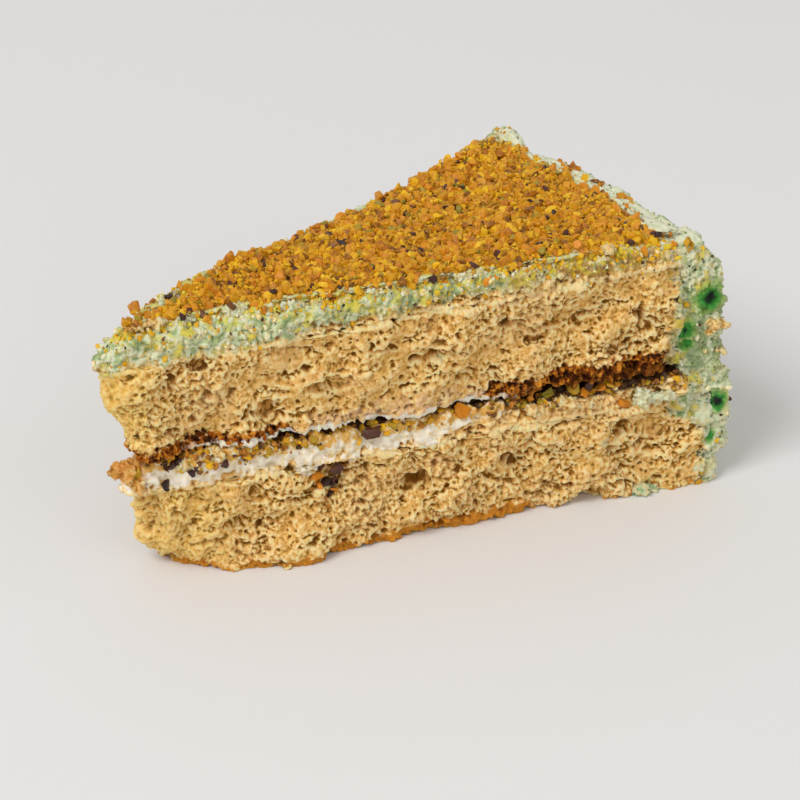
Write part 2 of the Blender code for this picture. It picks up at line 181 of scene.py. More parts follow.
# Nuts big enough to be picked out: side, along, height, out and size
DARK_NUTS = [
    (NEAR, 60.8, 28.0, -0.1, 4.2),
    (NEAR, 59.6, 27.0, 0.2, 2.6),
    (NEAR, 66.5, 27.6, 0.2, 2.2),
    (NEAR, 14.8, 22.8, 0.6, 2.6),
    (NEAR, 52.8, 20.4, 0.4, 3.2),
    (NEAR, 50.6, 17.6, 0.4, 2.6),
    (NEAR, 52.6, 16.4, 0.5, 2.4),
    (NEAR, 49.2, 21.4, 0.4, 2.2),
    (NEAR, 51.4, 14.0, 0.4, 2.2),
    (NEAR, 30.8, 62.8, -0.4, 2.6),
    (NEAR, 19.5, 62.6, -0.3, 2.0),
    (NEAR, 113.0, 29.0, -1.2, 3.0),
    (NEAR, 118.0, 27.0, -0.4, 2.2),
    (FAR, 38.0, 28.0, 0.0, 3.6),
    (FAR, 93.0, 27.6, 0.0, 3.2),
    (FAR, 58.0, 62.6, -4.0, 3.0),
]
ORANGE_NUTS = [
    (NEAR, 82.9, 29.2, -0.2, 3.8),
    (NEAR, 81.8, 28.6, 0.0, 2.4),
    (NEAR, 49.0, 19.0, 0.3, 3.0),
    (NEAR, 48.6, 16.6, 0.4, 2.4),
    (NEAR, 51.2, 11.4, 0.4, 2.4),
    (NEAR, 50.9, 12.8, 0.6, 2.2),
    (NEAR, 52.4, 15.2, 0.4, 1.8),
    (NEAR, 121.3, 24.4, 0.2, 3.0),
    (NEAR, 98.4, 28.6, -0.8, 2.4),
    (NEAR, 111.4, 28.2, -0.6, 2.4),
    (NEAR, 115.6, 28.4, -0.8, 2.8),
    (NEAR, 16.8, 25.4, 0.0, 1.8),
    (FAR, 66.0, 28.6, 0.0, 4.0),
    (FAR, 118.0, 28.0, 0.0, 3.0),
]
OLIVE_NUTS = [
    (NEAR, 74.6, 28.4, 0.2, 2.2),
    (NEAR, 89.4, 29.4, -0.6, 2.6),
    (NEAR, 102.4, 28.9, -0.6, 3.4),
    (NEAR, 109.5, 29.6, -0.8, 3.0),
    (NEAR, 117.8, 29.4, -0.6, 2.6),
    (NEAR, 8.5, 27.2, -0.2, 2.6),
    (NEAR, 135.4, 61.0, -0.6, 2.0),
    (FAR, 50.0, 28.8, -0.4, 3.2),
]

# Crumbs and dabs: side, along, height, out, and the half lengths along the cut, into it and up
CAKE_CRUMBS = [
    (NEAR, 142.2, 40.6, 0.0, (2.2, 1.6, 2.0)),
    (NEAR, 140.6, 38.6, 0.0, (1.4, 1.2, 1.1)),
    (NEAR, 142.4, 33.2, -0.8, (1.2, 0.9, 0.7)),
    (NEAR, 116.4, 62.2, -0.8, (1.5, 1.3, 1.3)),
    (NEAR, 107.0, 26.8, 0.4, (2.4, 1.6, 1.6)),
    (NEAR, 99.0, 26.4, 0.4, (2.0, 1.4, 1.3)),
    (NEAR, 116.0, 16.6, 0.6, (2.6, 1.5, 2.2)),
    (NEAR, 113.0, 25.4, 0.4, (1.5, 1.3, 1.6)),
    (NEAR, 9.6, 61.0, -1.4, (2.4, 1.4, 0.8)),
    (NEAR, 13.6, 61.4, -1.4, (2.6, 1.4, 0.9)),
    (NEAR, 5.2, 26.4, 0.6, (1.7, 1.2, 1.9)),
    (NEAR, 7.4, 24.2, 0.8, (1.4, 1.1, 1.6)),
    (NEAR, 19.0, 27.6, 0.2, (2.0, 1.4, 1.5)),
    (NEAR, 26.0, 28.4, 0.2, (2.2, 1.4, 1.4)),
    (FAR, 76.0, 61.4, -1.6, (1.8, 1.4, 1.1)),
    (FAR, 104.0, 27.0, 0.2, (2.2, 1.5, 1.6)),
]
ICING_DABS = [
    (NEAR, 125.6, 24.9, 0.2, (2.5, 2.4, 2.2)),
    (NEAR, 129.2, 24.4, 0.2, (2.6, 2.0, 1.6)),
    (NEAR, 126.4, 1.0, 0.2, (2.8, 2.2, 1.4)),
    (NEAR, 128.6, 0.8, -0.4, (2.0, 2.2, 1.2)),
    (NEAR, 141.2, 1.1, -0.4, (3.2, 2.0, 1.2)),
    (NEAR, 31.6, 61.2, -1.4, (3.2, 1.8, 1.5)),
    (NEAR, 20.4, 60.9, -1.2, (2.8, 1.6, 1.3)),
    (NEAR, 44.0, 60.6, -1.2, (3.4, 1.6, 1.3)),
    (NEAR, 62.0, 60.6, -1.2, (3.0, 1.6, 1.4)),
    (NEAR, 84.0, 60.8, -1.2, (3.6, 1.6, 1.3)),
]

# Colours of each kind of loose piece, from one end of its tones to the other
CHIP_TONES = {
    "golden": ("nut_ochre", "nut_golden", "nut_golden", "nut_yellow", "nut_yellow"),
    "ochre": ("nut_brown", "nut_ochre", "nut_amber", "nut_golden", "nut_ochre"),
    "amber": ("nut_brown", "nut_amber", "nut_golden", "nut_orange", "nut_golden"),
    "orange": ("nut_amber", "nut_orange"),
    "crack": ("husk_dark", "nut_brown", "nut_amber", "nut_olive", "nut_golden", "nut_yellow"),
    "stained": ("nut_golden", "nut_yellow", "icing_stain"),
    "olive": ("nut_green", "nut_olive", "nut_golden"),
    "husk": ("husk_dark", "husk", "nut_brown"),
    "crumb": ("icing_white", "icing_crumb", "crumb_pale_and_lit", "icing_white"),
    "side": ("icing_white", "icing_crumb", "icing_deep_and_shade", "husk"),
}

# Each piece has fewer triangles than this
MOST_TRIANGLES = 200_000

# The stage: where the camera and the lights look, the floor's side, the lens and the sensor's width in
# millimetres, and each light's name, place, size and power
TARGET = Vector((29.7, 35.0, 0.0)) * MM
FLOOR_SIZE = 6.0
LENS, SENSOR = 135.0, 36.0
LIGHTS = [
    ("key", (-2.2, -0.5, 2.6), 1.5, 62.0),
    ("fill", (-0.2, -1.8, 1.0), 1.5, 5.0),
]
WORLD_COLOUR = (1.0, 0.99, 0.98)
WORLD_STRENGTH = 0.56


def cake():
    """The colours that the panel shows."""
    return bpy.context.scene.cake_colours


def on_cut(side, along, height, out):
    """A place on a cut, given in millimetres."""
    direction = Vector((math.cos(HALF_ANGLE), side * math.sin(HALF_ANGLE), 0.0))
    normal = Vector((-math.sin(HALF_ANGLE), side * math.cos(HALF_ANGLE), 0.0))
    return Vector((APEX_X, 0.0, height * MM)) + (direction * along + normal * out) * MM


class Wire:
    """What comes out of a node. Arithmetic on it adds Math nodes."""

    def __init__(self, graph, socket):
        self.graph = graph
        self.socket = socket

    def __add__(self, other):
        return self.graph.math("ADD", self, other)

    def __radd__(self, other):
        return self.graph.math("ADD", other, self)

    def __sub__(self, other):
        return self.graph.math("SUBTRACT", self, other)

    def __rsub__(self, other):
        return self.graph.math("SUBTRACT", other, self)

    def __mul__(self, other):
        return self.graph.math("MULTIPLY", self, other)

    def __rmul__(self, other):
        return self.graph.math("MULTIPLY", other, self)

    def __truediv__(self, other):
        return self.graph.math("DIVIDE", self, other)

    def __abs__(self):
        return self.graph.math("ABSOLUTE", self)

    def __pow__(self, other):
        return self.graph.math("POWER", self, other)


class Graph:
    """A tree of shader or geometry nodes, written as expressions."""

    def __init__(self, tree):
        self.tree = tree

    def node(self, kind, settings=None, inputs=None, output=None):
        """Any node: its settings, then its sockets' values or links. Gives one output, or the node."""
        made = self.tree.nodes.new(kind)
        for name, value in (settings or {}).items():
            if name == "stops":
                self.set_stops(made.color_ramp, value)
            else:
                setattr(made, name, value)
        for name, value in (inputs or {}).items():
            self.feed(self.pick(made.inputs, name), value)
        return made if output is None else self.out(made, output)

    def out(self, made, output):
        return Wire(self, self.pick(made.outputs, output))

    def pick(self, sockets, name):
        """A socket by its number, or the one in use that has this name."""
        if isinstance(name, int):
            return sockets[name]
        return next(socket for socket in sockets if socket.enabled and socket.name == name)

    def feed(self, socket, value):
        if isinstance(value, Wire):
            self.tree.links.new(value.socket, socket)
        elif socket.type == "RGBA" and len(value) == 3:
            socket.default_value = (*value, 1.0)
        else:
            socket.default_value = value

    def set_stops(self, ramp, stops):
        while len(ramp.elements) < len(stops):
            ramp.elements.new(1.0)
        for element, (position, colour) in zip(ramp.elements, stops):
            element.position = position
            element.color = (*colour, 1.0)

    def math(self, operation, *values):
        inputs = dict(enumerate(values))
        return self.node("ShaderNodeMath", {"operation": operation}, inputs, "Value")

    def vector(self, operation, *values, output="Vector"):
        inputs = dict(enumerate(values))
        return self.node("ShaderNodeVectorMath", {"operation": operation}, inputs, output)

    def scaled(self, vector, by):
        settings = {"operation": "SCALE"}
        return self.node("ShaderNodeVectorMath", settings, {0: vector, "Scale": by}, "Vector")

    def split(self, vector):
        made = self.node("ShaderNodeSeparateXYZ", {}, {0: vector})
        return [self.out(made, axis) for axis in "XYZ"]

    def upward(self, vector):
        """The part of a vector along Z."""
        return self.split(vector)[2]

    def combine(self, x, y, z):
        return self.node("ShaderNodeCombineXYZ", {}, {0: x, 1: y, 2: z}, 0)

    def step(self, value, low, high):
        """Rises smoothly from 0 at low to 1 at high, or falls where low is the larger."""
        start, end = (0.0, 1.0) if low < high else (1.0, 0.0)
        bounds = {"From Min": min(low, high), "From Max": max(low, high), "To Min": start, "To Max": end}
        settings = {"interpolation_type": "SMOOTHSTEP"}
        return self.node("ShaderNodeMapRange", settings, {"Value": value, **bounds}, "Result")

    def near(self, value, middle, reach, full):
        """1 around a middle, within the full distance, and 0 beyond the reach."""
        return self.step(abs(value - middle), reach, full)

    def band(self, value, start, full, fading, end):
        """1 from full to fading, and 0 before start and after end."""
        return self.step(value, start, full) * self.step(value, end, fading)

    def larger(self, first, second):
        """The larger of two values, or one mask laid over another."""
        return self.math("MAXIMUM", first, second)

    def ranged(self, value, low, high, first, last):
        """A value between low and high carried over to between first and last."""
        bounds = {"From Min": low, "From Max": high, "To Min": first, "To Max": last}
        return self.node("ShaderNodeMapRange", {}, {"Value": value, **bounds}, "Result")

    def noise(self, place, size, detail=0.0, rough=0.5, stretch=None, output="Fac"):
        """Cloudy noise about 0.5, its clouds this large."""
        if stretch:
            place = self.vector("MULTIPLY", place, stretch)
        inputs = {"Vector": place, "Scale": 1 / size, "Detail": detail, "Roughness": rough}
        return self.node("ShaderNodeTexNoise", {}, inputs, output)

    def bent(self, place, reach, size):
        """A place that drifts to and fro by this reach, so that what is laid out on it looks uneven."""
        drift = self.vector("SUBTRACT", self.noise(place, size, detail=2, output="Color"), (0.5, 0.5, 0.5))
        return self.vector("ADD", place, self.scaled(drift, reach))

    def cloud(self, place, size, detail=0.0, rough=0.5, stretch=None):
        """Noise about 0."""
        return self.noise(place, size, detail, rough, stretch) - 0.5

    def patches(self, place, size, low, high, detail=0.0, rough=0.5):
        """1 in uneven patches of this size, and 0 between them."""
        return self.step(self.noise(place, size, detail, rough), low, high)

    def cells(self, place, size, output="Distance"):
        """Distance from the middle of the nearest cell, 0 there and about 0.6 at its edge."""
        return self.node("ShaderNodeTexVoronoi", {}, {"Vector": place, "Scale": 1 / size}, output)

    def knobs(self, place, size):
        """Round knobs, over 0 in the middle of each cell and under it at the edge."""
        return 0.45 - self.cells(place, size)

    def dots(self, place, size, edge, inner, share):
        """Round dots in this share of the cells, picked at random, that fade from inner to edge."""
        dot = self.step(self.cells(place, size), edge, inner)
        red, _, _ = self.split(self.cells(place, size, "Color"))
        return dot * self.math("LESS_THAN", red, share)

    def blend(self, first, second, share):
        """One colour laid over another."""
        inputs = {"Factor": share, "A": first, "B": second}
        return self.node("ShaderNodeMix", {"data_type": "RGBA"}, inputs, "Result")

    def ramp(self, value, *stops):
        return self.node("ShaderNodeValToRGB", {"stops": stops}, {"Fac": value}, "Color")

    def stored(self, name):
        """A number that was stored on the piece's points."""
        return self.node("ShaderNodeAttribute", {"attribute_name": name}, {}, "Fac")

    def from_cut(self, place):
        """How far a point lies along the nearer cut, how far it stands out of it, and its height."""
        x, y, z = self.split(place)
        x = x - APEX_X
        y = abs(y)
        along = x * math.cos(HALF_ANGLE) + y * math.sin(HALF_ANGLE)
        out = y * math.cos(HALF_ANGLE) - x * math.sin(HALF_ANGLE)
        return along, out, z

    def cut_map(self, place):
        """A place as along, height and side, with the two sides laid well apart."""
        along, _, z = self.from_cut(place)
        _, y, _ = self.split(place)
        return self.combine(along, z, self.math("SIGN", y) * SIDES_APART)

    def from_middle(self, place):
        """Distance from the middle of the cake, in plan."""
        x, y, _ = self.split(place)
        return ((x - APEX_X) ** 2 + y**2) ** 0.5


def deselect_all():
    active = bpy.context.view_layer.objects.active
    if active and active.mode != "OBJECT":
        bpy.ops.object.mode_set(mode="OBJECT")
    bpy.ops.object.select_all(action="DESELECT")


def make_active(piece):
    deselect_all()
    piece.select_set(True)
    bpy.context.view_layer.objects.active = piece


def modify(piece, kind, **settings):
    """Adds a modifier and applies it."""
    modifier = piece.modifiers.new(kind.title(), kind)
    for name, value in settings.items():
        setattr(modifier, name, value)
    make_active(piece)
    bpy.ops.object.modifier_apply(modifier=modifier.name)


def new_piece(name, mesh):
    piece = bpy.data.objects.new(name, mesh)
    bpy.context.scene.collection.objects.link(piece)
    return piece


def cast_of(node, name):
    """A new piece with a solid's form, its loose triangles merged into one closed skin."""
    cast = new_piece(name, frame["nodes"][node].data.copy())
    cast.data.materials.clear()
    make_active(cast)
    bpy.ops.object.mode_set(mode="EDIT")
    bpy.ops.mesh.select_all(action="SELECT")
    bpy.ops.mesh.remove_doubles(threshold=MERGE)
    bpy.ops.object.mode_set(mode="OBJECT")
    return cast


def geometry_tree(name):
    """An empty tree of geometry nodes: its graph, what comes in, and the node that takes what goes out."""
    tree = bpy.data.node_groups.new(name, "GeometryNodeTree")
    tree.interface.new_socket("Geometry", in_out="INPUT", socket_type="NodeSocketGeometry")
    tree.interface.new_socket("Geometry", in_out="OUTPUT", socket_type="NodeSocketGeometry")
    graph = Graph(tree)
    incoming = graph.node("NodeGroupInput", output="Geometry")
    return graph, incoming, graph.node("NodeGroupOutput")


def carve(piece, relief):
    """Moves the skin by a relief, keeps it over the ground, and stores how hollow it is at each point."""
    graph, skin, end = geometry_tree(piece.name + "_relief")
    place = graph.node("GeometryNodeInputPosition", output="Position")
    normal = graph.node("GeometryNodeInputNormal", output="Normal")
    outwards = graph.scaled(normal, relief(graph, place) * MM + STAND_OFF)
    moved = {"Geometry": skin, "Offset": graph.vector("ADD", outwards, pulled(graph, place))}
    skin = graph.node("GeometryNodeSetPosition", {}, moved, "Geometry")
    x, y, z = graph.split(place)
    lifted = {"Geometry": skin, "Position": graph.combine(x, y, graph.larger(z, 0.0))}
    skin = graph.node("GeometryNodeSetPosition", {}, lifted, "Geometry")
    spread = {"Value": place, "Iterations": HOLLOW_STEPS}
    blurred = graph.node("GeometryNodeBlurAttribute", {"data_type": "FLOAT_VECTOR"}, spread, "Value")
    rise = graph.vector("SUBTRACT", blurred, place)
    hollow = graph.vector("DOT_PRODUCT", rise, normal, output="Value") / HOLLOW_DEPTH
    store(graph, skin, end, "hollow", hollow)
    modify(piece, "NODES", node_group=graph.tree)


def pulled(graph, place):
    """How far the whole form is moved at a place, for all the skins alike."""
    move = (0.0, 0.0, 0.0)
    for middle, reach, by in PULLS:
        away = graph.vector("SUBTRACT", place, Vector(middle) * MM)
        away = graph.vector("DIVIDE", away, Vector(reach) * MM)
        share = graph.step(graph.vector("LENGTH", away, output="Value"), 1.0, 0.15)
        move = graph.vector("ADD", graph.scaled(Vector(by) * MM, share), move)
    return move


def store(graph, skin, end, name, value, domain="POINT"):
    """Keeps a number on the skin under this name, and ends the tree."""
    settings = {"data_type": "FLOAT", "domain": domain}
    inputs = {"Geometry": skin, "Name": name, "Value": value}
    skin = graph.node("GeometryNodeStoreNamedAttribute", settings, inputs, "Geometry")
    if domain == "INSTANCE":
        skin = graph.node("GeometryNodeRealizeInstances", {}, {"Geometry": skin}, "Geometry")
    graph.feed(graph.pick(end.inputs, "Geometry"), skin)


def refine(piece, voxel, relief, triangles, smoothing, softening=0):
    """Gives a piece a fine even skin, carves it, and thins it where it is flattest, to so many triangles.

    Smoothing and softening are how often the skin is evened out before and after it is carved.
    """
    modify(piece, "REMESH", mode="VOXEL", voxel_size=voxel)
    modify(piece, "SMOOTH", factor=0.5, iterations=smoothing)
    carve(piece, relief)
    if softening:
        modify(piece, "SMOOTH", factor=0.5, iterations=softening)
    modify(piece, "DECIMATE", ratio=min(1.0, triangles / (2 * len(piece.data.polygons))))
    for face in piece.data.polygons:
        face.use_smooth = True


def crumb(graph, place):
    """Crumb, in millimetres: doughy lumps, torn recesses, bubbles and pores, in some places grainier."""
    along, _, z = graph.from_cut(place)
    doughy = graph.near(along, 58 * MM, 36 * MM, 16 * MM) * graph.step(z, 34 * MM, 38 * MM)
    soft = graph.bent(place, 1.2 * MM, 2.0 * MM)
    lumps = graph.cloud(soft, 8.0 * MM, detail=4, rough=0.6)
    recess = graph.step(graph.noise(soft, 6.0 * MM, detail=5, rough=0.62, stretch=(1, 1, 1.8)), 0.54, 0.66)
    grainy = graph.ranged(graph.noise(place, 12 * MM, detail=1), 0.4, 0.6, 0.35, 1.2)
    fine = graph.cloud(place, 1.35 * MM, detail=3, rough=0.62)
    relief = lumps * 6.4 + fine * 4.5 * grainy * (1 - doughy * 0.5) - recess * 2.1
    for size, edge, share, depth in PORES:
        relief = relief - graph.dots(soft, size * MM, edge, 0.12, share) * depth
    return relief


def seamed(graph, place, relief):
    """A relief, calmer and a little higher along each seam, so that no groove runs between the layers."""
    x, _, z = graph.split(place)
    near = 0.0
    for height, climb in (LOWER_SEAM, UPPER_SEAM):
        near = graph.step(abs(z - height - x * climb), 1.1 * MM, 0.2 * MM) + near
    grains = graph.ranged(graph.noise(place, 1.3 * MM, detail=3, rough=0.6), 0.35, 0.65, 0.0, 0.9)
    return relief * (1 - near * 0.5) + near * grains * 0.8


def pockets(graph, place):
    """The depth of the pockets torn in the cuts, their edges ragged."""
    spot = graph.cut_map(graph.bent(place, 3.6 * MM, 2.2 * MM))
    depth = 0.0
    for side, along, height, half_length, half_height, deep in POCKETS:
        middle = (along * MM, height * MM, side * SIDES_APART)
        stretch = (1 / (half_length * MM), 1 / (half_height * MM), 1 / MM)
        apart = graph.vector("MULTIPLY", graph.vector("SUBTRACT", spot, middle), stretch)
        depth = graph.step(graph.vector("LENGTH", apart, output="Value"), 1.4, 0.3) * deep + depth
    return depth


def torn_sponge(graph, place):
    """Torn on the cuts, smoother where a knife pressed the upper sponge, and level inside."""
    along, out, z = graph.from_cut(place)
    pressed = graph.near(along, 66 * MM, 26 * MM, 20 * MM) * graph.near(z, 33.5 * MM, 3.2 * MM, 2.0 * MM)
    creamed = (1 - crumbed_filling(graph, place)) * graph.step(z, 26 * MM, 25 * MM)
    torn = crumb(graph, place) * (1 - pressed * 0.15) * (1 - creamed * 0.7) - pockets(graph, place)
    return seamed(graph, place, torn) * graph.step(out, *TORN_DEPTH)


def whipped_folds(graph, place):
    """Whipped cream, in soft folds and small peaks where the layers parted, and crumb beyond it."""
    folds = graph.cloud(place, 4.5 * MM, detail=1)
    peaks = graph.cloud(place, 1.7 * MM, detail=1)
    ledge = graph.step(graph.upward(place), 25.6 * MM, 27.4 * MM)
    rubble = graph.knobs(graph.bent(place, 1.0 * MM, 1.5 * MM), 1.3 * MM) * ledge
    crumbed = graph.larger(crumbed_filling(graph, place), tip_flake(graph, place))
    whipped = (folds * 2.6 + peaks * 2.2 + rubble * 0.9) * (1 - crumbed)
    lowered = tip_flake(graph, place) * 0.9
    return seamed(graph, place, whipped + crumb(graph, place) * crumbed * 0.9 - lowered)


def tip_flake(graph, place):
    """The flake of baked crust that hangs out of the filling at the slice's point."""
    along, _, z = graph.from_cut(place)
    return graph.step(along, 11 * MM, 8.5 * MM) * graph.step(z, 23.4 * MM, 24.4 * MM)


def crumbed_filling(graph, place):
    """Where torn crumb covers the filling: low on its face, and nearly all over its outer half."""
    along, _, z = graph.from_cut(place)
    ragged = graph.cloud(place, 3.4 * MM, detail=5, rough=0.68) * 12 * MM
    drip = graph.near(along, 46 * MM, 3.4 * MM, 1.4 * MM) * 2.6 * MM
    line = graph.ranged(along, 74 * MM, 92 * MM, 23.0 * MM, 27.6 * MM) - drip
    line = line + graph.step(along + ragged, 92 * MM, 98 * MM) * 6 * MM
    return graph.step(z - line + ragged, 0.5 * MM, -0.5 * MM)


def spread_icing(graph, place):
    """Icing: clotted and rough with crumbs on the cuts, swept level round the outer side."""
    _, out, _ = graph.from_cut(place)
    cut = graph.step(out, -3.5 * MM, -1.5 * MM)
    side = graph.step(graph.from_middle(place), 131 * MM, 134 * MM) * (1 - cut)
    fine = graph.cloud(place, 1.1 * MM, detail=3)
    clots = graph.cloud(graph.bent(place, 1.5 * MM, 2 * MM), 2.6 * MM, detail=3, rough=0.6)
    clumps = abs(graph.cloud(place, 2.0 * MM, detail=2)) * iced(graph, place)
    rough = crumb(graph, place) * (1 - iced(graph, place) * 0.6)
    rough = seamed(graph, place, rough + clots * 3.2 + clumps * 4.0 + fine * 2.2)
    sweeps = graph.cloud(place, 9 * MM, detail=1, stretch=(0.35, 0.35, 1.6))
    swept = sweeps * 2.4 + clots * 1.6 + fine * 1.4
    rim = graph.step(graph.from_middle(place), 135 * MM, 138 * MM) * (clots * 2.2 + 0.4)
    top = (1 - cut) * (1 - side)
    return rough * cut + swept * side + (rim + clots * 1.2 + 0.9) * top


def smeared_corner(graph, place):
    """Where the icing was smeared thin and level, high on the outer edge of a cut."""
    along, _, z = graph.from_cut(graph.bent(place, 3 * MM, 4 * MM))
    return graph.step(along, 135 * MM, 137.5 * MM) * graph.near(z, 38 * MM, 11 * MM, 8.5 * MM)


def nut_rubble(graph, place):
    """The bed under the loose nuts, bumpy with finer crumbs, and icing in clots where it is bare."""
    bent = graph.bent(place, 1.2 * MM, 2 * MM)
    heaped = graph.cloud(place, 7 * MM, detail=2)
    rubble = graph.knobs(bent, 2.2 * MM) * 0.9 + graph.knobs(bent, 1.1 * MM) * 0.7
    clots = abs(graph.cloud(bent, 2.2 * MM, detail=3, rough=0.6))
    bare = bare_bed(graph, place)
    return (rubble + heaped * 1.4) * (1 - bare) + (clots * 4.4 - 1.7) * bare


def bare_bed(graph, place):
    """Where icing shows instead of nuts, along a ragged line at the bed's cut and outer edges."""
    _, out, _ = graph.from_cut(place)
    ragged = graph.cloud(place, 5.0 * MM, detail=4, rough=0.62) * 12 * MM
    cut_edge = graph.step(out + ragged, -3.2 * MM, -2.0 * MM)
    rim = graph.step(graph.from_middle(place) + ragged * 0.8, 128.8 * MM, 130.0 * MM)
    return graph.larger(cut_edge, rim)


def rough_dab(graph, place):
    """Icing piled up in small clots."""
    clots = abs(graph.cloud(place, 1.8 * MM, detail=3, rough=0.6))
    return clots * 7.0 + graph.cloud(place, 4.0 * MM, detail=4, rough=0.7) * 5.0 - 1.0


def rough_crumb(graph, place):
    """A torn off crumb, knobbly and pitted."""
    bent = graph.bent(place, 1.0 * MM, 1.6 * MM)
    knobs = graph.cloud(bent, 2.8 * MM, detail=4, rough=0.68)
    clumps = abs(graph.cloud(bent, 1.4 * MM, detail=2))
    return knobs * 5.5 + clumps * 4.0 - 0.5


def finish(piece, look, replaced=None):
    """Gives a piece its material, slot and body, and lets it stand for a solid.

    It stops an operator whose piece came out empty or too heavy.
    """
    piece.data.materials.clear()
    piece.data.materials.append(look)
    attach(piece, "root")
    if replaced:
        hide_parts(replaced)
    piece.data.calc_loop_triangles()
    triangles = len(piece.data.loop_triangles)
    if not 0 < triangles < MOST_TRIANGLES:
        raise RuntimeError(f"{piece.name} has {triangles} triangles")
    print(f"{piece.name}: {triangles} triangles")


def material(name, paint, roughness, glow, bump=0.25, bump_size=0.5 * MM, shine=0.3):
    """A food material.

    Paint gives its colour from the graph and the place, glow is how much light it lets in, the bump's size
    is that of its finest grain, and shine is how strongly it reflects.
    """
    made = bpy.data.materials.new(name)
    made.use_nodes = True
    made.node_tree.nodes.clear()
    graph = Graph(made.node_tree)
    place = graph.node("ShaderNodeTexCoord", output="Object")
    relief = graph.noise(place, bump_size, detail=3, rough=0.65)
    bumps = {"Strength": bump, "Distance": BUMP_HEIGHT, "Height": relief}
    inputs = {
        "Base Color": paint(graph, place),
        "Roughness": roughness,
        "Specular IOR Level": shine,
        "Normal": graph.node("ShaderNodeBump", {}, bumps, "Normal"),
        "Subsurface Weight": glow,
        "Subsurface Radius": GLOW_TINT,
        "Subsurface Scale": GLOW_REACH,
    }
    shader = graph.node("ShaderNodeBsdfPrincipled", {}, inputs, "BSDF")
    graph.node("ShaderNodeOutputMaterial", {}, {"Surface": shader})
    return made


def hollows(graph):
    """How hollow the skin is, from 0 on a peak to 1 in a pit, by which the paints lay painted shade in
    pits and, on the crumb, painted light on peaks.
    """
    return graph.stored("hollow") * 0.5 + 0.5


def crumb_colour(graph, place):
    """Pale golden crumb, painted paler on its raised crumbs as light and darker in its hollows as shade,
    and warmer in broad patches.
    """
    fine = graph.cloud(place, 1.0 * MM, detail=4, rough=0.66)
    # Painted light on the peaks and painted shade in the pits, from how hollow the skin is, with random
    # grain over it
    tone = graph.ramp(
        hollows(graph) + fine * 1.3,
        (0.15, cake().crumb_pale_and_lit),
        (0.5, cake().crumb),
        (0.9, cake().crumb_brown_and_shade),
    )
    patches = graph.patches(place, 11 * MM, 0.45, 0.68, detail=1)
    return graph.blend(tone, cake().crumb_warm, patches * 0.35)


def crust_colour(graph, place):
    """Brown crust, nearly black in places and orange in others, and painted darker in its hollows as
    shade.
    """
    # Painted shade: the hollows push the crust towards its darkest colour
    patches = graph.noise(place, 1.9 * MM, detail=3, rough=0.6) - hollows(graph) * 0.16 + 0.08
    return graph.ramp(patches, (0.41, cake().crust_dark_and_shadow), (0.53, cake().crust), (0.68, cake().crust_light))


def iced(graph, place):
    """Where icing shows on a cut: over a line that climbs outwards, and on its outer edge, both ragged."""
    along, _, z = graph.from_cut(place)
    drift = graph.cloud(place, 3.4 * MM, detail=4, rough=0.66) * MM
    line = graph.ranged(along, 12 * MM, 88 * MM, 52.8 * MM, 57.2 * MM)
    top = graph.step(z - line + drift * 10, -1.0 * MM, 1.0 * MM)
    edge = graph.step(z, 14 * MM, 20 * MM) * -9 * MM + 140.5 * MM
    outer = graph.step(along - edge + drift * 14, -1.0 * MM, 1.0 * MM)
    return graph.larger(top, outer)


def cut_icing_colour(graph, place):
    """Icing torn by the knife: clots of white, yellow and green, painted deeper green in its hollows as
    shade, greyer midway, and crumbed beyond.
    """
    along, _, z = graph.from_cut(place)
    clots = graph.noise(graph.bent(place, 1.2 * MM, 2 * MM), 3.2 * MM, detail=3, rough=0.56)
    swirls = graph.cloud(place, 5.0 * MM, detail=2)
    tone = graph.ramp(
        clots + swirls * 0.5,
        (0.30, cake().icing_deep_and_shade),
        (0.41, cake().icing),
        (0.50, cake().icing_white),
        (0.57, cake().icing_crumb),
        (0.63, cake().icing_yellow),
    )
    # Painted shade: deeper green laid in the hollows
    tone = graph.blend(tone, cake().icing_deep_and_shade, graph.step(hollows(graph), 0.5, 1.1) * 0.7)
    middle = graph.band(along, 42 * MM, 60 * MM, 90 * MM, 104 * MM)
    grey = graph.patches(place, 4.5 * MM, 0.44, 0.58, detail=3, rough=0.6)
    tone = graph.blend(tone, cake().icing_smear, grey * middle * 0.6)
    crumbed = graph.band(along, 84 * MM, 104 * MM, 128 * MM, 136 * MM)
    speckled = graph.patches(place, 3.4 * MM, 0.42, 0.54, detail=4, rough=0.64)
    tone = graph.blend(tone, crumb_colour(graph, place), speckled * crumbed * 0.7)
    brown = graph.patches(place, 3.0 * MM, 0.42, 0.54, detail=4, rough=0.64) * crumbed
    tone = graph.blend(tone, cake().crumb_brown_and_shade, brown * 0.85)
    corner = graph.step(along, 138 * MM, 142 * MM) * graph.step(z, 26 * MM, 20 * MM)
    return graph.blend(tone, cake().icing_white, corner * 0.55)


def lower_sponge_paint(graph, place):
    """A broken crust along its base, a yellow point, and icing on its outer edge."""
    along, _, z = graph.from_cut(place)
    point = graph.step(along, 34 * MM, 20 * MM)
    tone = graph.blend(crumb_colour(graph, place), cake().crumb_yellow, point * 0.35)
    ragged = graph.cloud(place, 3.4 * MM, detail=4, rough=0.66) * 11 * MM
    thick = graph.ranged(along, 42 * MM, 76 * MM, 1.2 * MM, 3.0 * MM)
    thick = thick * graph.step(along, 104 * MM, 94 * MM)
    crust = graph.step(z - thick + ragged, 0.4 * MM, -0.4 * MM)
    baked = graph.blend(crust_colour(graph, place), cake().crust_light, 0.75)
    tone = graph.blend(tone, baked, crust)
    creamed = (1 - crumbed_filling(graph, place)) * 0.9
    tone = graph.blend(tone, cream_colour(graph, place), creamed)
    return graph.blend(tone, cut_icing_colour(graph, place), iced(graph, place))


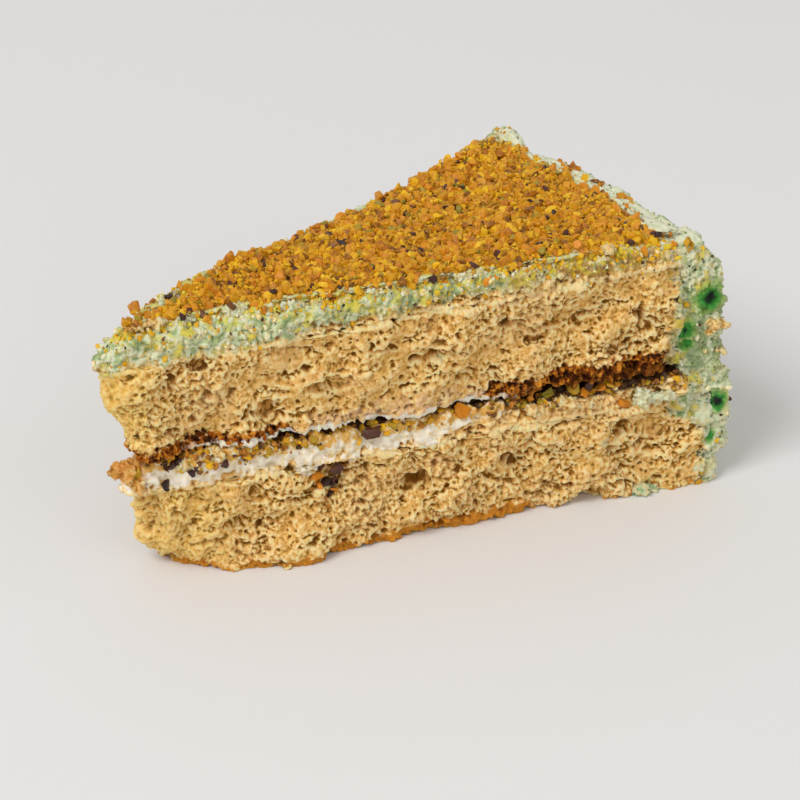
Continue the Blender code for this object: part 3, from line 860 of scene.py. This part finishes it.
def upper_sponge_paint(graph, place):
    """A browned underside, pressed pale and smeared with cream midway, and icing on its edges."""
    along, _, z = graph.from_cut(place)
    point = graph.step(along, 16 * MM, 6 * MM)
    tone = graph.blend(crumb_colour(graph, place), cake().crumb_yellow, point * 0.4)
    drift = graph.cloud(place, 2.8 * MM, detail=4, rough=0.64) * MM
    middle = graph.band(along + drift * 20, 40 * MM, 50 * MM, 84 * MM, 92 * MM)
    rise = z - UPPER_SPONGE_BASE
    pressed = graph.step(rise + drift * 16, 4.4 * MM, 2.4 * MM) * middle
    mottled = graph.ranged(graph.noise(place, 1.8 * MM, detail=3, rough=0.6), 0.4, 0.6, 0.15, 0.75)
    tone = graph.blend(tone, cake().crumb_pressed, pressed * mottled)
    thick = graph.ranged(along, 80 * MM, 104 * MM, 2.6 * MM, 4.6 * MM) * (1 - middle)
    brown = graph.step(rise - thick + drift * 9, 0.6 * MM, -0.4 * MM)
    burnt = graph.step(rise - thick * 0.5 + drift * 9, 0.6 * MM, -0.6 * MM)
    burnt = burnt * graph.step(along, 80 * MM, 96 * MM)
    crust = graph.blend(crust_colour(graph, place), cake().crust_dark_and_shadow, burnt * 0.6)
    tone = graph.blend(tone, crust, brown)
    creamed = graph.step(along, 17 * MM, 24 * MM) * graph.step(along + drift * 30, 96 * MM, 84 * MM)
    smear = graph.step(rise + drift * 7, 1.1 * MM, 0.6 * MM) * creamed
    tone = graph.blend(tone, cake().cream, smear)
    return graph.blend(tone, cut_icing_colour(graph, place), iced(graph, place))


def filling_paint(graph, place):
    """Cream with crumb over it, painted near black deep in the crack as the shadow under the upper sponge,
    and a flake of crust at its point.
    """
    along, out, z = graph.from_cut(place)
    tone = cream_colour(graph, place)
    tone = graph.blend(tone, crumb_colour(graph, place), crumbed_filling(graph, place))
    # Painted shadow: the ledge's inner part, under the upper sponge's overhang, is painted near black
    outer = graph.ranged(along, 84 * MM, 96 * MM, 0.0, 0.9 * MM)
    ragged = graph.cloud(place, 2.6 * MM, detail=3) * 2 * MM
    deep = graph.step(out - outer + ragged, -0.4 * MM, -1.2 * MM)
    deep = deep * graph.step(z + ragged * 0.5, 26.4 * MM, 27.4 * MM)
    tone = graph.blend(tone, cake().crust_dark_and_shadow, deep * 0.95)
    baked = graph.blend(crumb_colour(graph, place), crust_colour(graph, place), 0.6)
    return graph.blend(tone, graph.blend(baked, cake().crust_light, 0.6), tip_flake(graph, place))


def cream_colour(graph, place):
    """White cream, painted darker in its folds as shade, and yellow where ground nuts bleed into it."""
    # Painted shade: the cream darkens with how hollow the skin is
    tone = graph.ramp(hollows(graph), (0.3, cake().cream), (1.0, cake().cream_fold_shade))
    ledge = graph.step(graph.upward(place), 25.4 * MM, 28.0 * MM) * 0.2
    drift = graph.noise(place, 1.6 * MM, detail=4, rough=0.65)
    tone = graph.blend(tone, cake().cream_yellow, graph.step(drift + ledge, 0.51, 0.64) * 0.7)
    return graph.blend(tone, cake().nut_golden, graph.step(drift + ledge, 0.62, 0.70) * 0.8)


def icing_paint(graph, place):
    """Pale green icing, speckled on the outer side, torn on the cuts, with spots of gel colour."""
    along, out, z = graph.from_cut(place)
    cut = graph.step(out, -3.2 * MM, -1.2 * MM)
    tone = coat_colour(graph, place)
    bare = graph.blend(crumb_colour(graph, place), cut_icing_colour(graph, place), iced(graph, place))
    tone = graph.blend(tone, bare, cut)
    tone = graph.blend(tone, smear_colour(graph, place), smeared_corner(graph, place) * cut * 0.85)
    tone = graph.blend(tone, cake().husk, graph.dots(place, 1.2 * MM, 0.3, 0.16, 0.16) * 0.7)
    tone = graph.blend(tone, cake().nut_yellow, graph.dots(place, 1.7 * MM, 0.36, 0.2, 0.16) * 0.6)
    dusted = graph.patches(place, 1.5 * MM, 0.48, 0.58, detail=4, rough=0.6)
    near_bed = graph.step(z, 55.5 * MM, 60.6 * MM) * graph.step(along, 130 * MM, 118 * MM)
    tone = graph.blend(tone, cake().icing_stain, dusted * near_bed * 0.75)
    on_the_cut = graph.cut_map(place)
    ragged = graph.cloud(place, 1.6 * MM, detail=3, rough=0.6) * 3.0 * MM
    round_the_corner = graph.larger(-3 * MM - out, 0.0)
    for side, along_cut, height, core, halo in CUT_SPOTS:
        distance = from_spot(graph, on_the_cut, along_cut, height, side) + round_the_corner
        tone = spot_colour(graph, tone, distance, ragged, core, halo)
    _, y, _ = graph.split(place)
    on_the_side = graph.combine(y, z, cut * SIDES_APART)
    for across, height, core, halo in SIDE_SPOTS:
        distance = from_spot(graph, on_the_side, across, height, 0)
        tone = spot_colour(graph, tone, distance, ragged, core, halo)
    return tone


def coat_colour(graph, place):
    """Pale green icing, whiter on its sweeps and nearly white on the top, and painted deeper green in its
    hollows as shade.
    """
    top = graph.step(graph.upward(place), 58 * MM, 60 * MM)
    drift = graph.noise(place, 4.0 * MM, detail=4, rough=0.64) + top * 0.1
    tone = graph.ramp(drift, (0.30, cake().icing_deep_and_shade), (0.42, cake().icing), (0.54, cake().icing_white))
    # Painted shade: deeper green laid in the hollows
    return graph.blend(tone, cake().icing_deep_and_shade, graph.step(hollows(graph), 0.6, 1.1) * 0.4)


def from_spot(graph, spread_out, across, height, side):
    """Distance on a map from a spot whose place is given in millimetres."""
    middle = (across * MM, height * MM, side * SIDES_APART)
    return graph.vector("DISTANCE", spread_out, middle, output="Value")


def near_spots(graph, place):
    """The spots on the cuts, where no grit lies."""
    on_the_cut = graph.cut_map(place)
    share = 0.0
    for side, along, height, _, halo in CUT_SPOTS:
        distance = from_spot(graph, on_the_cut, along, height, side)
        share = graph.larger(graph.step(distance, halo * MM, 0.6 * halo * MM), share)
    return share


def smear_colour(graph, place):
    """Thin grey green icing, streaked and stained greener in patches."""
    streaks = graph.noise(place, 3.0 * MM, detail=5, rough=0.68, stretch=(1, 1, 0.5))
    tone = graph.ramp(
        streaks,
        (0.38, cake().icing_deep_and_shade),
        (0.47, cake().icing_smear),
        (0.56, cake().icing),
        (0.62, cake().icing_white),
    )
    greener = graph.patches(place, 5 * MM, 0.58, 0.72, detail=3)
    return graph.blend(tone, cake().spot_halo, greener * 0.5)


def spot_colour(graph, tone, distance, ragged, core, halo):
    """Lays a spot of gel colour: a yellow fringe, a green halo and a core that is nearly black."""
    core, halo = core * MM, halo * MM
    edge = distance + ragged
    tone = graph.blend(tone, cake().spot_fringe, graph.step(edge, halo, 0.75 * halo) * 0.6)
    tone = graph.blend(tone, cake().spot_halo, graph.step(edge, 0.9 * halo, 0.35 * halo) * 0.95)
    inner = graph.step(distance + ragged * 0.35, 1.4 * core, 0.6 * core)
    return graph.blend(tone, cake().spot_core, inner)


def dab_paint(graph, place):
    """White and pale green, greener in patches near the ground."""
    drift = graph.noise(place, 2.0 * MM, detail=3, rough=0.6)
    tone = graph.ramp(drift, (0.32, cake().icing), (0.44, cake().icing_white), (0.6, cake().icing_crumb))
    stained = graph.step(drift, 0.52, 0.44) * graph.step(graph.upward(place), 7 * MM, 3 * MM)
    return graph.blend(tone, cake().spot_halo, stained * 0.6)


def loose_crumb_paint(graph, place):
    """Crumbs of sponge, some with icing on them, some browned."""
    tone = crumb_colour(graph, place)
    patches = graph.noise(place, 2.2 * MM, detail=3, rough=0.6)
    tone = graph.blend(tone, cake().icing_white, graph.step(patches, 0.54, 0.64) * 0.45)
    along, _, _ = graph.from_cut(place)
    point = graph.step(along, 9.4 * MM, 8.4 * MM)
    baked = graph.larger(graph.step(patches, 0.44, 0.36), point * 0.8)
    return graph.blend(tone, cake().crust_light, baked * 0.8)


def bed_paint(graph, place):
    """Fine ground nuts, painted brown to husk in the hollows as the shade in the gaps between loose nuts,
    and bare icing stained yellow by them at the edges.
    """
    fine = graph.cloud(place, 0.9 * MM, detail=2)
    # Painted shade: darker towards husk in the hollows of the bed
    tone = graph.ramp(
        hollows(graph) + fine * 0.8,
        (0.0, cake().nut_ochre),
        (0.5, cake().nut_brown),
        (1.0, cake().husk),
    )
    stained = graph.patches(place, 2.6 * MM, 0.42, 0.56, detail=4, rough=0.64)
    within = graph.step(graph.from_middle(place), 131 * MM, 127 * MM)
    icing = graph.blend(coat_colour(graph, place), cake().icing_yellow, stained * within * 0.85)
    return graph.blend(tone, icing, bare_bed(graph, place))


def chip_paint(*names):
    """A paint for loose pieces, each of its own tone between these colours."""

    def paint(graph, place):
        patches = graph.noise(place, 8 * MM, detail=2) + graph.noise(place, 0.9 * MM, detail=1) - 1.0
        tone = graph.stored("tint") * 0.9 + patches * 0.55 + 0.05
        last = len(names) - 1
        return graph.ramp(tone, *[(i / last, getattr(cake(), name)) for i, name in enumerate(names)])

    return paint


def model_chips(name, detail, ragged, stretch, splits):
    """A few odd shapes of one kind of piece, each about a millimetre across, kept aside to be strewn.

    Each starts round, is made uneven, and is then split along planes as a knife leaves a nut.
    """
    shapes = bpy.data.collections.new(name)
    rng = random.Random(name)
    for number in range(CHIP_SHAPES):
        deselect_all()
        bpy.ops.mesh.primitive_ico_sphere_add(subdivisions=detail, radius=CHIP_RADIUS)
        shape = bpy.context.object
        shape.name = f"{name}_{number}"
        bpy.ops.object.mode_set(mode="EDIT")
        bpy.ops.mesh.select_all(action="SELECT")
        bpy.ops.transform.vertex_random(
            offset=ragged * MM, uniform=1.0, normal=0.0, seed=number, wait_for_input=False
        )
        bpy.ops.transform.resize(value=stretch)
        for _ in range(splits):
            facing = Vector([rng.gauss(0, 1) for _ in range(3)]).normalized()
            split = facing * rng.uniform(*SPLIT_DEPTHS) * MM
            bpy.ops.mesh.select_all(action="SELECT")
            bpy.ops.mesh.bisect(plane_co=split, plane_no=facing, use_fill=True, clear_outer=True)
        bpy.ops.object.mode_set(mode="OBJECT")
        shapes.objects.link(shape)
        bpy.context.collection.objects.unlink(shape)
    return shapes


def strew(carrier, name, shapes, density, sizes, where, seed):
    """Strews pieces over a carrier's skin, so many to a square centimetre where the rule gives 1."""
    piece = new_piece(name, carrier.data.copy())
    graph, skin, end = geometry_tree(name + "_strewn")
    place = graph.node("GeometryNodeInputPosition", output="Position")
    normal = graph.node("GeometryNodeInputNormal", output="Normal")
    thick = where(graph, place, normal) * (density * PER_SQUARE_CENTIMETRE)
    spread = {"Mesh": skin, "Density": thick, "Seed": seed}
    points = graph.node("GeometryNodeDistributePointsOnFaces", {}, spread, "Points")
    kept = {"Collection": shapes, "Separate Children": True, "Reset Children": True}
    kinds = graph.node("GeometryNodeCollectionInfo", {}, kept, "Instances")
    turn = chance(graph, "FLOAT_VECTOR", (0.0, 0.0, 0.0), (math.tau, math.tau, math.tau), seed + 1)
    share = chance(graph, "FLOAT", 0.0, 1.0, seed + 2)
    size = share * share * (sizes[1] - sizes[0]) + sizes[0]
    laid = {"Points": points, "Instance": kinds, "Pick Instance": True, "Rotation": turn, "Scale": size}
    instances = graph.node("GeometryNodeInstanceOnPoints", {}, laid, "Instances")
    tint = chance(graph, "FLOAT", 0.0, 1.0, seed + 3)
    store(graph, instances, end, "tint", tint, domain="INSTANCE")
    modify(piece, "NODES", node_group=graph.tree)
    return piece


def chance(graph, data_type, low, high, seed):
    """A number or a vector drawn at random for each piece."""
    inputs = {"Min": low, "Max": high, "Seed": seed}
    return graph.node("FunctionNodeRandomValue", {"data_type": data_type}, inputs, "Value")


def place_pieces(name, shapes, places, seed):
    """Sets single pieces at listed places, each turned its own way, and joins them into one."""
    rng = random.Random(seed)
    kinds = list(shapes.objects)
    copies = []
    for number, (side, along, height, out, size) in enumerate(places):
        copy = new_piece(f"{name}_{number}", kinds[number % len(kinds)].data.copy())
        turn = Euler([rng.uniform(0, math.tau) for _ in range(3)]).to_matrix().to_4x4()
        spot = Matrix.Translation(on_cut(side, along, height, out))
        copy.data.transform(spot @ turn @ Matrix.Scale(size, 4))
        tint = copy.data.attributes.new("tint", "FLOAT", "POINT")
        tint.data.foreach_set("value", [rng.random()] * len(copy.data.vertices))
        copies.append(copy)
    return joined(name, copies)


def joined(name, pieces):
    """These pieces as one."""
    deselect_all()
    for piece in pieces:
        piece.select_set(True)
    bpy.context.view_layer.objects.active = pieces[0]
    bpy.ops.object.join()
    pieces[0].name = name
    return pieces[0]


def model_lumps(name, places, relief, triangles):
    """Dabs or crumbs: a round start for each, pressed to its size, joined and roughened as one."""
    lumps = []
    for side, along, height, out, half in places:
        deselect_all()
        bpy.ops.mesh.primitive_ico_sphere_add(subdivisions=4, radius=1.0)
        lump = bpy.context.object
        turn = Matrix.Rotation(side * HALF_ANGLE, 4, "Z")
        size = Matrix.Diagonal((*[length * MM for length in half], 1.0))
        lump.data.transform(Matrix.Translation(on_cut(side, along, height, out)) @ turn @ size)
        lumps.append(lump)
    lump = joined(name, lumps)
    refine(lump, LUMP_VOXEL, relief, triangles, smoothing=1)
    return lump


def drop_shapes(shapes):
    """Removes shapes that were kept aside."""
    for shape in list(shapes.objects):
        bpy.data.objects.remove(shape)
    bpy.data.collections.remove(shapes)


def on_top(graph, place, normal):
    """Everywhere that faces up, but for a few on the bare edges."""
    return graph.step(graph.upward(normal), 0.25, 0.5) * (1 - bare_bed(graph, place) * 0.75)


def on_rim(graph, place, normal):
    """The bare strip of icing at the outer edge of the top, thinning outwards."""
    high = graph.step(graph.upward(place), ICING_TOP - 1.5 * MM, ICING_TOP - 0.5 * MM)
    level = graph.step(graph.upward(normal), 0.3, 0.6)
    return level * high * graph.step(graph.from_middle(place), 140 * MM, 133 * MM)


def on_bed_edge(graph, place, normal):
    """The icing's top beside the nut bed, thinning towards the cuts, and its slope at the point."""
    _, out, z = graph.from_cut(place)
    ragged = graph.cloud(place, 5 * MM, detail=2) * 5 * MM
    thinning = graph.step(out + ragged, 0.8 * MM, -1.6 * MM)
    inside = graph.step(graph.from_middle(place), 134 * MM, 131 * MM)
    level = graph.step(graph.upward(normal), 0.2, 0.5)
    return level * graph.step(z, 54 * MM, 57 * MM) * inside * thinning


def on_icing_cut(graph, place, normal):
    """The icing's cut faces, most thickly along their top edge and at the point."""
    along, out, z = graph.from_cut(place)
    edge = graph.step(z, 56 * MM, 61 * MM) * 0.6 + graph.step(along, 12 * MM, 2 * MM) * 0.6 + 0.25
    bare = (1 - smeared_corner(graph, place) * 0.4) * (1 - near_spots(graph, place))
    return graph.step(out, *CUT_FACE) * edge * bare


def on_icing_side(graph, place, normal):
    """The icing's outer side."""
    return graph.step(graph.from_middle(place), *OUTER_FACE) * (1 - near_spots(graph, place))


def on_ledge(graph, place, normal):
    """The ledge of the filling in the crack, and a few below it on its cut edge."""
    along, out, z = graph.from_cut(place)
    ledge = graph.step(z, 26.6 * MM, 27.8 * MM) * graph.step(out, -2.6 * MM, -1.4 * MM)
    face = graph.step(out, *CUT_FACE) * graph.step(z, 25 * MM, 27.4 * MM)
    patches = graph.patches(place, 7 * MM, 0.4, 0.56, detail=1) * 0.7 + 0.3
    creamy = graph.near(along, 66 * MM, 24 * MM, 16 * MM)
    ends = graph.step(along, 11 * MM, 15 * MM) * (1 - creamy * 0.6)
    return (ledge * 0.6 + face * 0.6) * patches * ends


def colour(name, description, value):
    return FloatVectorProperty(
        name=name, description=description, default=value, size=3, min=0.0, max=1.0, subtype="COLOR"
    )


def length(name, description, value):
    return FloatProperty(
        name=name, description=description, default=value, min=0.0, subtype="DISTANCE", unit="LENGTH"
    )


def angle(name, description, degrees):
    return FloatProperty(
        name=name, description=description, default=math.radians(degrees), subtype="ANGLE", unit="ROTATION"
    )


def density(name, value):
    return FloatProperty(name=name, description="Pieces to a square centimetre", default=value, min=0.0)


class CakeColours(bpy.types.PropertyGroup):
    """Colours of the slice's finishes."""

    # The next three colours run from painted light on the raised crumbs to painted shade in the hollows;
    # the first is also a tone of loose crumbs, and the third one of brown specks
    crumb_pale_and_lit: colour("Crumb light", "Sponge on its raised crumbs", (0.97, 0.74, 0.37))
    crumb: colour("Crumb", "Sponge where it is level", (0.82, 0.48, 0.13))
    crumb_brown_and_shade: colour("Crumb deep", "Sponge in its hollows", (0.34, 0.145, 0.016))
    crumb_warm: colour("Crumb warm", "Broad warmer patches of the sponge", (0.80, 0.50, 0.20))
    crumb_pressed: colour("Crumb pressed", "Sponge pressed pale over the crack", (0.70, 0.44, 0.26))
    crumb_yellow: colour("Crumb yellow", "The soaked point of the sponge", (0.90, 0.60, 0.14))
    crust: colour("Crust", "Browned underside of a sponge", (0.33, 0.085, 0.005))
    # Dark crust patches, and also painted as the shadow deep in the crack of the filling and as shade in
    # the crust's hollows
    crust_dark_and_shadow: colour("Crust dark", "Darkest patches of the crust", (0.045, 0.011, 0.002))
    crust_light: colour("Crust light", "Palest patches of the crust", (0.74, 0.31, 0.035))
    cream: colour("Cream", "Whipped cream of the filling", (0.88, 0.81, 0.67))
    # Painted as shade in the folds of the cream
    cream_fold_shade: colour("Cream deep", "Folds of the cream", (0.66, 0.53, 0.34))
    cream_yellow: colour("Cream yellow", "Cream with ground nuts in it", (0.76, 0.54, 0.20))
    icing: colour("Icing", "Pistachio icing", (0.44, 0.52, 0.25))
    icing_white: colour("Icing white", "Palest sweeps of the icing", (0.76, 0.77, 0.55))
    # A deep green tone of the icing, and also painted in its hollows as shade
    icing_deep_and_shade: colour("Icing deep", "Deepest sweeps of the icing", (0.27, 0.37, 0.16))
    icing_crumb: colour("Icing crumb", "Icing with crumb rubbed into it", (0.58, 0.49, 0.22))
    icing_yellow: colour("Icing yellow", "Icing stained by ground nuts", (0.66, 0.57, 0.10))
    icing_stain: colour("Icing stain", "Yellow green icing beside the nuts", (0.70, 0.62, 0.05))
    icing_smear: colour("Icing smear", "Thin grey icing", (0.20, 0.28, 0.12))
    spot_core: colour("Spot core", "Middle of a spot of gel colour", (0.002, 0.012, 0.003))
    spot_halo: colour("Spot halo", "Bright green round a spot", (0.015, 0.25, 0.02))
    spot_fringe: colour("Spot fringe", "Yellow green where a spot fades", (0.36, 0.50, 0.10))
    nut_yellow: colour("Nut yellow", "Palest ground nuts", (0.82, 0.465, 0.012))
    nut_golden: colour("Nut golden", "Most of the crushed nuts", (0.66, 0.31, 0.006))
    nut_ochre: colour("Nut ochre", "Duller ground nuts", (0.42, 0.20, 0.008))
    nut_amber: colour("Nut amber", "Roasted nuts", (0.54, 0.19, 0.008))
    nut_orange: colour("Nut orange", "Whole orange pieces", (0.68, 0.24, 0.012))
    nut_brown: colour("Nut brown", "Dark roasted nuts", (0.22, 0.085, 0.012))
    nut_olive: colour("Nut olive", "Greener nuts", (0.38, 0.27, 0.02))
    nut_green: colour("Nut green", "The greenest nuts", (0.20, 0.19, 0.02))
    husk: colour("Husk", "Red brown skin of the nuts", (0.085, 0.029, 0.020))
    husk_dark: colour("Husk dark", "Darkest nut skin", (0.022, 0.009, 0.007))
    floor: colour("Floor", "The floor under the slice", (0.78, 0.77, 0.76))


class CakeSizes(bpy.types.PropertyGroup):
    """Fineness of the skins, how thickly the loose nuts lie, and where the camera stands."""

    crumb_voxel: length("Crumb grain", "Finest detail of the sponge's skin", 0.30 * MM)
    cream_voxel: length("Cream grain", "Finest detail of the filling's skin", 0.32 * MM)
    icing_voxel: length("Icing grain", "Finest detail of the icing's skin", 0.32 * MM)
    bed_voxel: length("Bed grain", "Finest detail of the nut bed's skin", 0.50 * MM)
    fine_nuts: density("Fine nuts", 90.0)
    ground_nuts: density("Ground nuts", 76.0)
    golden_nuts: density("Golden nuts", 40.0)
    chopped_nuts: density("Chopped nuts", 42.0)
    olive_nuts: density("Olive nuts", 6.0)
    husks: density("Husks", 9.0)
    camera_distance: length("Camera distance", "From the slice to the camera", 0.726)
    camera_azimuth: angle("Camera azimuth", "Where the camera stands round the slice", -34.65)
    camera_elevation: angle("Camera elevation", "How far the camera looks down", 28.0)
    seed: IntProperty(name="Seed", description="Where the loose nuts fall", default=11, min=0)


class CAKE_OT_set_stage(bpy.types.Operator):
    """A pale floor, soft light from the upper left, and the camera"""

    bl_idname = "cake.set_stage"
    bl_label = "Set the stage"

    def execute(self, context):
        deselect_all()
        bpy.ops.mesh.primitive_plane_add(size=FLOOR_SIZE)
        floor = context.object
        floor.name = "floor"
        look = material("floor", lambda graph, place: cake().floor, roughness=0.7, glow=0.0, bump=0.0)
        floor.data.materials.append(look)
        for name, place, size, power in LIGHTS:
            lamp = bpy.data.lights.new(name, "AREA")
            lamp.size = size
            lamp.energy = power
            light = bpy.data.objects.new(name, lamp)
            light.location = place
            light.rotation_euler = (TARGET - Vector(place)).to_track_quat("-Z", "Y").to_euler()
            context.scene.collection.objects.link(light)
        world = bpy.data.worlds.new("studio")
        world.use_nodes = True
        background = world.node_tree.nodes["Background"]
        background.inputs["Color"].default_value = (*WORLD_COLOUR, 1.0)
        background.inputs["Strength"].default_value = WORLD_STRENGTH
        context.scene.world = world
        context.scene.view_settings.view_transform = "Standard"
        self.set_camera(context)
        return {"FINISHED"}

    def set_camera(self, context):
        """Stands the camera where the panel's settings put it."""
        sizes = context.scene.cake_sizes
        azimuth, elevation = sizes.camera_azimuth, sizes.camera_elevation
        level = math.cos(elevation)
        back = Vector((math.sin(azimuth) * level, -math.cos(azimuth) * level, math.sin(elevation)))
        camera = bpy.data.objects.new("camera", bpy.data.cameras.new("camera"))
        camera.data.lens = LENS
        camera.data.sensor_width = SENSOR
        camera.data.dof.use_dof = False
        camera.location = TARGET + back * sizes.camera_distance
        camera.rotation_euler = (-back).to_track_quat("-Z", "Y").to_euler()
        context.scene.collection.objects.link(camera)
        context.scene.camera = camera


class CAKE_OT_tear_sponges(bpy.types.Operator):
    """The two sponges, torn along both cuts"""

    bl_idname = "cake.tear_sponges"
    bl_label = "Tear the sponges"

    def execute(self, context):
        grain = context.scene.cake_sizes.crumb_voxel
        for node, paint in (("lower_sponge", lower_sponge_paint), ("upper_sponge", upper_sponge_paint)):
            name = node + "_crumb"
            sponge = cast_of(node, name)
            refine(sponge, grain, torn_sponge, triangles=196_000, smoothing=3, softening=2)
            look = material(name, paint, roughness=0.85, glow=0.6, bump=0.7, shine=0.1)
            finish(sponge, look, replaced=node)
        return {"FINISHED"}


class CAKE_OT_whip_filling(bpy.types.Operator):
    """The whipped cream between the sponges"""

    bl_idname = "cake.whip_filling"
    bl_label = "Whip the filling"

    def execute(self, context):
        grain = context.scene.cake_sizes.cream_voxel
        cream = cast_of("cream_filling", "whipped_filling")
        refine(cream, grain, whipped_folds, triangles=110_000, smoothing=3, softening=1)
        look = material("whipped_filling", filling_paint, roughness=0.45, glow=0.3, bump=0.1)
        finish(cream, look, replaced="cream_filling")
        return {"FINISHED"}


class CAKE_OT_spread_icing(bpy.types.Operator):
    """The coat of green icing, and the dabs of it that stand apart"""

    bl_idname = "cake.spread_icing"
    bl_label = "Spread the icing"

    def execute(self, context):
        grain = context.scene.cake_sizes.icing_voxel
        coat = cast_of("pistachio_icing", "icing_coat")
        refine(coat, grain, spread_icing, triangles=190_000, smoothing=3, softening=1)
        look = material("icing_coat", icing_paint, roughness=0.6, glow=0.3, bump=0.5, bump_size=0.8 * MM)
        finish(coat, look, replaced="pistachio_icing")
        dabs = model_lumps("icing_dabs", ICING_DABS, rough_dab, triangles=12_000)
        finish(dabs, material("icing_dabs", dab_paint, roughness=0.5, glow=0.3))
        return {"FINISHED"}


class CAKE_OT_drop_crumbs(bpy.types.Operator):
    """Crumbs of sponge that stick to the cuts and the top edge"""

    bl_idname = "cake.drop_crumbs"
    bl_label = "Drop the crumbs"

    def execute(self, context):
        crumbs = model_lumps("cake_crumbs", CAKE_CRUMBS, rough_crumb, triangles=24_000)
        look = material("cake_crumbs", loose_crumb_paint, roughness=0.85, glow=0.45, bump=0.8, shine=0.1)
        finish(crumbs, look)
        return {"FINISHED"}


class CAKE_OT_lay_nut_bed(bpy.types.Operator):
    """The bed of ground nuts that the loose ones lie on"""

    bl_idname = "cake.lay_nut_bed"
    bl_label = "Lay the nut bed"

    def execute(self, context):
        grain = context.scene.cake_sizes.bed_voxel
        bed = cast_of("crushed_nuts", "nut_bed")
        refine(bed, grain, nut_rubble, triangles=70_000, smoothing=2)
        look = material("nut_bed", bed_paint, roughness=0.55, glow=0.1)
        finish(bed, look, replaced="crushed_nuts")
        return {"FINISHED"}


class CAKE_OT_strew_nuts(bpy.types.Operator):
    """Loose nuts on the top, on the icing and in the crack, one piece for each kind and place"""

    bl_idname = "cake.strew_nuts"
    bl_label = "Strew the nuts"

    def execute(self, context):
        sizes = context.scene.cake_sizes
        grit = model_chips("grit", 1, 0.1, (1.3, 1.0, 0.85), splits=2)
        shards = model_chips("shards", 1, 0.08, (1.3, 1.0, 0.8), splits=4)
        chips = model_chips("chips", 2, 0.13, (1.4, 1.0, 0.8), splits=6)
        looks = {}
        for name, tones in CHIP_TONES.items():
            looks[name] = material(name, chip_paint(*tones), roughness=0.36, glow=0.12)
        bed = bpy.data.objects["nut_bed"]
        icing = bpy.data.objects["icing_coat"]
        cream = bpy.data.objects["whipped_filling"]
        for number, (name, carrier, shapes, thick, size, where, look) in enumerate((
            ("fine_nuts", bed, grit, sizes.fine_nuts, (0.6, 1.5), on_top, "golden"),
            ("ground_nuts", bed, grit, sizes.ground_nuts, (0.6, 1.6), on_top, "ochre"),
            ("golden_nuts", bed, shards, sizes.golden_nuts, (1.0, 2.9), on_top, "golden"),
            ("chopped_nuts", bed, shards, sizes.chopped_nuts, (1.0, 3.2), on_top, "amber"),
            ("olive_nuts", bed, shards, sizes.olive_nuts, (1.0, 2.8), on_top, "olive"),
            ("husks", bed, shards, sizes.husks, (0.7, 2.6), on_top, "husk"),
            ("rim_nuts", icing, shards, 7.0, (0.8, 2.8), on_rim, "amber"),
            ("edge_nuts", icing, grit, 110.0, (0.5, 1.6), on_bed_edge, "stained"),
            ("cut_nuts", icing, grit, 10.0, (0.5, 1.6), on_icing_cut, "golden"),
            ("cut_crumbs", icing, grit, 26.0, (0.4, 1.5), on_icing_cut, "crumb"),
            ("cut_husks", icing, grit, 7.0, (0.4, 1.1), on_icing_cut, "husk"),
            ("side_grit", icing, grit, 22.0, (0.3, 0.9), on_icing_side, "side"),
            ("crack_nuts", cream, shards, 30.0, (0.8, 2.6), on_ledge, "crack"),
            ("crack_grit", cream, grit, 80.0, (0.4, 1.8), on_ledge, "crack"),
            ("crack_husks", cream, shards, 8.0, (0.8, 2.4), on_ledge, "husk"),
        )):
            strewn = strew(carrier, name, shapes, thick, size, where, sizes.seed + 10 * number)
            finish(strewn, looks[look])
        for number, (name, places, look) in enumerate((
            ("large_husks", DARK_NUTS, "husk"),
            ("large_orange_nuts", ORANGE_NUTS, "orange"),
            ("large_olive_nuts", OLIVE_NUTS, "olive"),
        )):
            single = place_pieces(name, chips, places, sizes.seed + number)
            finish(single, looks[look])
        for shapes in (grit, shards, chips):
            drop_shapes(shapes)
        return {"FINISHED"}


OPERATORS = (
    CAKE_OT_set_stage,
    CAKE_OT_tear_sponges,
    CAKE_OT_whip_filling,
    CAKE_OT_spread_icing,
    CAKE_OT_drop_crumbs,
    CAKE_OT_lay_nut_bed,
    CAKE_OT_strew_nuts,
)


class CAKE_PT_slice(bpy.types.Panel):
    """The slice's steps, in order, and its settings"""

    bl_idname = "CAKE_PT_slice"
    bl_label = "Cake slice"
    bl_space_type = "VIEW_3D"
    bl_region_type = "UI"
    bl_category = "Cake"

    def draw(self, context):
        for operator in OPERATORS:
            self.layout.operator(operator.bl_idname)
        for group in (context.scene.cake_sizes, context.scene.cake_colours):
            for name in group.__annotations__:
                self.layout.prop(group, name)


CLASSES = (CakeColours, CakeSizes, *OPERATORS, CAKE_PT_slice)


def register():
    for made in CLASSES:
        bpy.utils.register_class(made)
    bpy.types.Scene.cake_colours = PointerProperty(type=CakeColours)
    bpy.types.Scene.cake_sizes = PointerProperty(type=CakeSizes)


def unregister():
    del bpy.types.Scene.cake_sizes
    del bpy.types.Scene.cake_colours
    for made in reversed(CLASSES):
        bpy.utils.unregister_class(made)


def main():
    """Makes every piece in order."""
    register()
    for operator in OPERATORS:
        group, name = operator.bl_idname.split(".")
        getattr(getattr(bpy.ops, group), name)()


if __name__ == "__main__":
    main()
